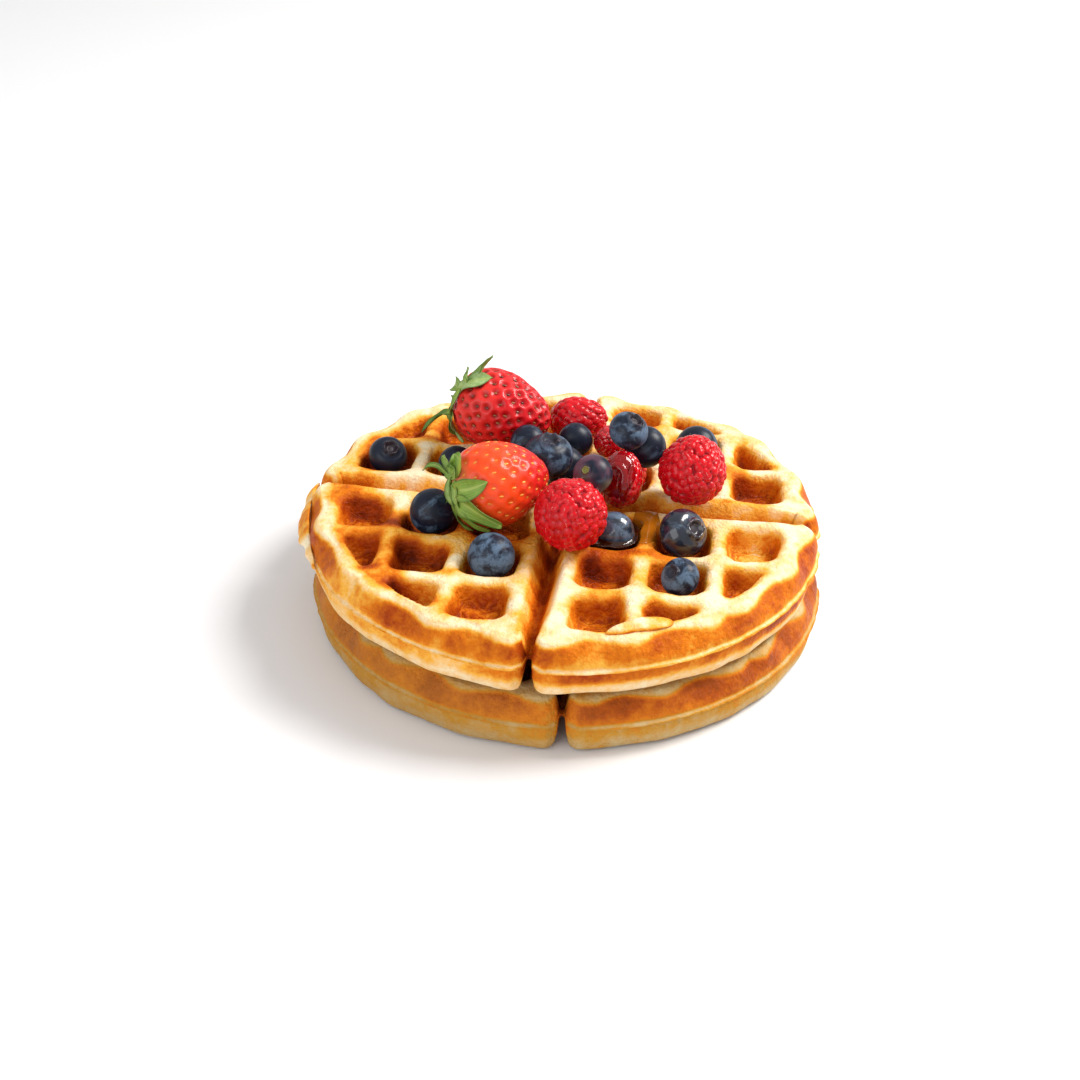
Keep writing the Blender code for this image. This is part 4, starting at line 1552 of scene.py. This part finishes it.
def flap_mesh():
    """A flat strip of batter that ran out of the iron's seam and leans on the left rim.

    Its section is a flat oval that leans inwards. It starts bluntly and thins to nothing
    at its other end.
    """
    rows, columns = 90, 24
    share = np.repeat(np.linspace(0, 1, rows), columns)
    around = np.tile(np.arange(columns) * 2 * math.pi / columns, rows)
    turn = FLAP_START + share * FLAP_SPAN
    size = np.clip(share / 0.03, 0, 1) ** 0.5 * np.clip((1 - share) / 0.4, 0, 1) ** 0.7
    wander = np.stack([share * 60, 0 * share, 0 * share], axis=1)
    ruffle = cloud(wander, 6.0, 5, 2)
    tall = (3.0 + 0.7 * ruffle) * size * np.sin(around)
    thick = (0.85 + 0.25 * cloud(wander, 4.0, 9)) * size * np.cos(around)
    out = FLAP_RADIUS - 0.52 * tall + 0.85 * thick + 0.4 * ruffle
    up = -7.8 - 1.6 * share + 0.85 * tall + 0.52 * thick
    points = np.stack([out * np.cos(turn), out * np.sin(turn), up], axis=1)
    ends = points.reshape(rows, columns, 3).mean(axis=1)[[0, -1]]
    brown = 0.22 + 0.34 * np.exp(-(((around - math.pi) / 0.9) ** 2)) + 0.22 * ruffle
    brown = brown + 0.10 * np.clip(np.sin(around), -1, 0)
    brown = np.concatenate([brown, [0.2, 0.3]])
    return np.concatenate([points, ends]), ring_faces(rows, columns), brown


def fold_mesh():
    """A tongue of batter folded over a pocket's edge: a flat oval with a bent spine."""
    long, wide, high = FOLD_HALVES

    def surface(polar, turn):
        """Points of the tongue, and how brown they are."""
        along = np.cos(polar) * long
        thin = 1 - 0.25 * np.cos(polar)
        across = np.sin(polar) * np.cos(turn) * wide * (1 + 0.2 * np.cos(polar))
        up = np.sin(polar) * np.sin(turn) * high * thin
        bend = 0.010 * along**2
        local = np.stack([along, across - bend + 0.45 * along, up - 0.006 * along**2], axis=1)
        local += 0.25 * cloud(local, 3.5, 6)[:, None]
        tone = 0.20 + 0.30 * smooth_step(np.sin(turn) * np.sin(polar), 0.7, -0.2)
        return FOLD_MIDDLE + local, {"brown": tone + 0.20 * cloud(local, 4.0, 8, 2)}

    points, faces, values = closed_ball(surface, 40, 40)
    return points, faces, values["brown"]


# Operators


class WAFFLES_OT_crusts(bpy.types.Operator):
    """Builds the two crusts."""

    bl_idname = "waffles.crusts"
    bl_label = "Crusts"

    def execute(self, context):
        settings = context.scene.crust_settings
        make_waffle(
            "upper_waffle",
            "waffle_top",
            settings,
            seed=UPPER_SEED,
            deep=0.0,
            dull_and_shaded=0.0,
            place=(0.0, 0.0, -THICKNESS / 2),
            turn=0.0,
            upper=True,
        )
        make_waffle(
            "lower_waffle",
            "waffle_bottom",
            settings,
            seed=LOWER_SEED,
            deep=0.13,
            dull_and_shaded=1.0,
            place=(LOWER_SHIFT - UPPER_SHIFT, 0.0, -1.5 * THICKNESS - CRUST_GAP),
            turn=LOWER_TURN,
            upper=False,
        )
        material = bpy.data.materials["upper_waffle crust"]
        for name, scrap in (("batter_flap", flap_mesh), ("batter_fold", fold_mesh)):
            points, faces, brown = scrap()
            values = {"brown": brown, "damp": 0 * brown, "ring": 0 * brown - 4}
            put_mesh(name, points, faces, values, material, [])
        return {"FINISHED"}


class WAFFLES_OT_blueberries(bpy.types.Operator):
    """Builds the blueberries."""

    bl_idname = "waffles.blueberries"
    bl_label = "Blueberries"

    def execute(self, context):
        settings = context.scene.berry_settings
        for number, (node, (direction, bloom, finish)) in enumerate(BLUEBERRIES.items()):
            points, faces, values = blueberry_mesh(node, direction, number, finish)
            material = blueberry_material(node + " skin", settings, bloom, finish)
            put_mesh(node + "_skin", points, faces, values, material, [node])
        return {"FINISHED"}


class WAFFLES_OT_raspberries(bpy.types.Operator):
    """Builds the raspberries and their hairs."""

    bl_idname = "waffles.raspberries"
    bl_label = "Raspberries"

    def execute(self, context):
        settings = context.scene.berry_settings
        finishes = {}
        for kind in ("dry", "wet"):
            finishes[kind] = raspberry_material("raspberry " + kind, settings, kind)
        hairs = []
        for number, (node, (direction, count, finish, swell)) in enumerate(RASPBERRIES.items()):
            made = raspberry_mesh(node, direction, count, swell, RASPBERRY_SEED + number)
            points, faces, values, tips, normals = made
            material = finishes[finish]
            put_mesh(node + "_drupelets", points, faces, values, material, [node])
            if finish == "dry":
                hairs.append(hair_mesh(tips, normals, HAIR_SEED + number, SHARE_OF_HAIRS))
        points, faces, values = joined(hairs)
        put_mesh("raspberry_hairs", points, faces, values, hair_material(), [])
        return {"FINISHED"}


class WAFFLES_OT_strawberries(bpy.types.Operator):
    """Builds the strawberries and their seeds."""

    bl_idname = "waffles.strawberries"
    bl_label = "Strawberries"

    def execute(self, context):
        settings = context.scene.berry_settings
        for number, (node, (direction, count, kind)) in enumerate(STRAWBERRIES.items()):
            made = strawberry_mesh(node, direction, count, kind, STRAWBERRY_SEED + number)
            points, faces, values, pits, turned, middle = made
            material = strawberry_material(node + " skin", settings, kind)
            put_mesh(node + "_fruit", points, faces, values, material, [node])
            points, faces, values = seed_mesh(pits, middle, turned, STRAWBERRY_SEEDS_SEED + number)
            material = seed_material(node + " seeds", kind)
            put_mesh(node + "_seeds", points, faces, values, material, [])
        return {"FINISHED"}


class WAFFLES_OT_leaves(bpy.types.Operator):
    """Builds the strawberries' leaves."""

    bl_idname = "waffles.leaves"
    bl_label = "Leaves"

    def execute(self, context):
        settings = context.scene.berry_settings
        for node, (fruit, leaves) in LEAVES.items():
            middle = strawberry_size(fruit, STRAWBERRIES[fruit][0])[1]
            made = [leaf_mesh(middle, leaf, number) for number, leaf in enumerate(leaves)]
            points, faces, values = joined(made)
            material = leaf_material(node + " green", settings)
            put_mesh(node + "_leaves", points, faces, values, material, [node])
        return {"FINISHED"}


class WAFFLES_OT_syrup(bpy.types.Operator):
    """Builds the syrup in a pocket, on the crust and on a raspberry."""

    bl_idname = "waffles.syrup"
    bl_label = "Syrup"

    def execute(self, context):
        settings = context.scene.crust_settings
        dark, thin, red = (syrup_material(*look) for look in SYRUPS)
        points, faces = pool_mesh()
        put_mesh("syrup_pool", points, faces, {}, dark, [])
        points, faces = wet_patch_mesh(settings, *WET_PATCH)
        put_mesh("syrup_on_rib", points, faces, {}, thin, [])
        direction = RASPBERRIES["raspberry_2"][0]
        points, faces = glaze_mesh("raspberry_2", direction, *GLAZE)
        put_mesh("syrup_on_raspberry", points, faces, {}, red, [])
        runs = [run_mesh(*run, number) for number, run in enumerate(RUNS)]
        points, faces, values = joined(runs)
        put_mesh("syrup_runs", points, faces, values, red, [])
        return {"FINISHED"}


def add_area_light(name, power, place, size, colour):
    """A square light over the stack, aimed at its middle."""
    data = bpy.data.lights.new(name, "AREA")
    data.shape = "SQUARE"
    data.size = size
    data.energy = power
    data.color = colour
    light = bpy.data.objects.new(name, data)
    light.matrix_world = matrix_of(turn_to(place), place)
    bpy.context.scene.collection.objects.link(light)


def matrix_of(axes, place):
    """A world matrix whose columns are axes, at place in metres."""
    rows = np.eye(4)
    rows[:3, :3] = axes
    rows[:3, 3] = place
    return Matrix(rows.tolist())


def add_camera(settings):
    """The photo's camera."""
    data = bpy.data.cameras.new("Camera")
    data.lens = settings.lens
    data.sensor_width = 36.0
    camera = bpy.data.objects.new("Camera", data)
    look = unit_length(np.array(CAMERA_LOOK))
    right = unit_length(np.cross(look, [0.0, 0.0, 1.0]))
    up = np.cross(right, look)
    cos, sin = math.cos(CAMERA_ROLL), math.sin(CAMERA_ROLL)
    axes = np.stack([right * cos + up * sin, up * cos - right * sin, -look], axis=1)
    camera.matrix_world = matrix_of(axes, (CAMERA_PLACE + CRUST_MIDDLE) * MM)
    bpy.context.scene.collection.objects.link(camera)
    bpy.context.scene.camera = camera


def add_floor(settings):
    """A wide plain floor that the stack stands on."""
    half = FLOOR_HALF
    corners = [(-half, -half, 0.0), (half, -half, 0.0), (half, half, 0.0), (-half, half, 0.0)]
    mesh = bpy.data.meshes.new("floor")
    mesh.from_pydata(corners, [], [(0, 1, 2, 3)])
    bench = Bench("Plain floor")
    shade = tuple(0.98 * channel for channel in settings.floor)
    colour = bench.mix(bench.grain(600.0, 2.0), tuple(settings.floor), shade)
    mesh.materials.append(bench.finish(Base_Color=colour, Roughness=0.8))
    floor = bpy.data.objects.new("floor", mesh)
    bpy.context.scene.collection.objects.link(floor)


class WAFFLES_OT_stage(bpy.types.Operator):
    """Builds the floor, the lights and the camera."""

    bl_idname = "waffles.stage"
    bl_label = "Stage"

    def execute(self, context):
        settings = context.scene.stage_settings
        add_floor(settings)
        add_area_light("key", settings.key_power, *KEY_LIGHT)
        add_area_light("fill", settings.fill_power, *FILL_LIGHT)
        world = bpy.data.worlds.new("Studio")
        world.use_nodes = True
        background = world.node_tree.nodes["Background"]
        background.inputs["Color"].default_value = (1.0, 1.0, 1.0, 1.0)
        background.inputs["Strength"].default_value = WORLD_STRENGTH
        context.scene.world = world
        context.scene.view_settings.view_transform = "Standard"
        add_camera(settings)
        return {"FINISHED"}


class WAFFLES_PT_builder(bpy.types.Panel):
    """Lists the builders."""

    bl_idname = "WAFFLES_PT_builder"
    bl_label = "Waffle stack"
    bl_space_type = "VIEW_3D"
    bl_region_type = "UI"
    bl_category = "Waffles"

    def draw(self, context):
        """One button for each operator."""
        for operator in OPERATORS:
            self.layout.operator(operator.bl_idname)


SETTINGS = {
    "crust_settings": CrustSettings,
    "berry_settings": BerrySettings,
    "stage_settings": StageSettings,
}
OPERATORS = (
    WAFFLES_OT_stage,
    WAFFLES_OT_crusts,
    WAFFLES_OT_blueberries,
    WAFFLES_OT_raspberries,
    WAFFLES_OT_strawberries,
    WAFFLES_OT_leaves,
    WAFFLES_OT_syrup,
)


def register():
    """Adds the settings, the operators and the panel to Blender."""
    for group in (*SETTINGS.values(), *OPERATORS, WAFFLES_PT_builder):
        bpy.utils.register_class(group)
    for name, group in SETTINGS.items():
        setattr(bpy.types.Scene, name, bpy.props.PointerProperty(type=group))


def unregister():
    """Takes them out again."""
    for name in SETTINGS:
        delattr(bpy.types.Scene, name)
    for group in (WAFFLES_PT_builder, *OPERATORS[::-1], *SETTINGS.values()):
        bpy.utils.unregister_class(group)


def main():
    """Builds everything."""
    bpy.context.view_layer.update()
    register()
    bpy.ops.waffles.stage()
    bpy.ops.waffles.crusts()
    bpy.ops.waffles.blueberries()
    bpy.ops.waffles.raspberries()
    bpy.ops.waffles.strawberries()
    bpy.ops.waffles.leaves()
    bpy.ops.waffles.syrup()


if __name__ == "__main__":
    main()
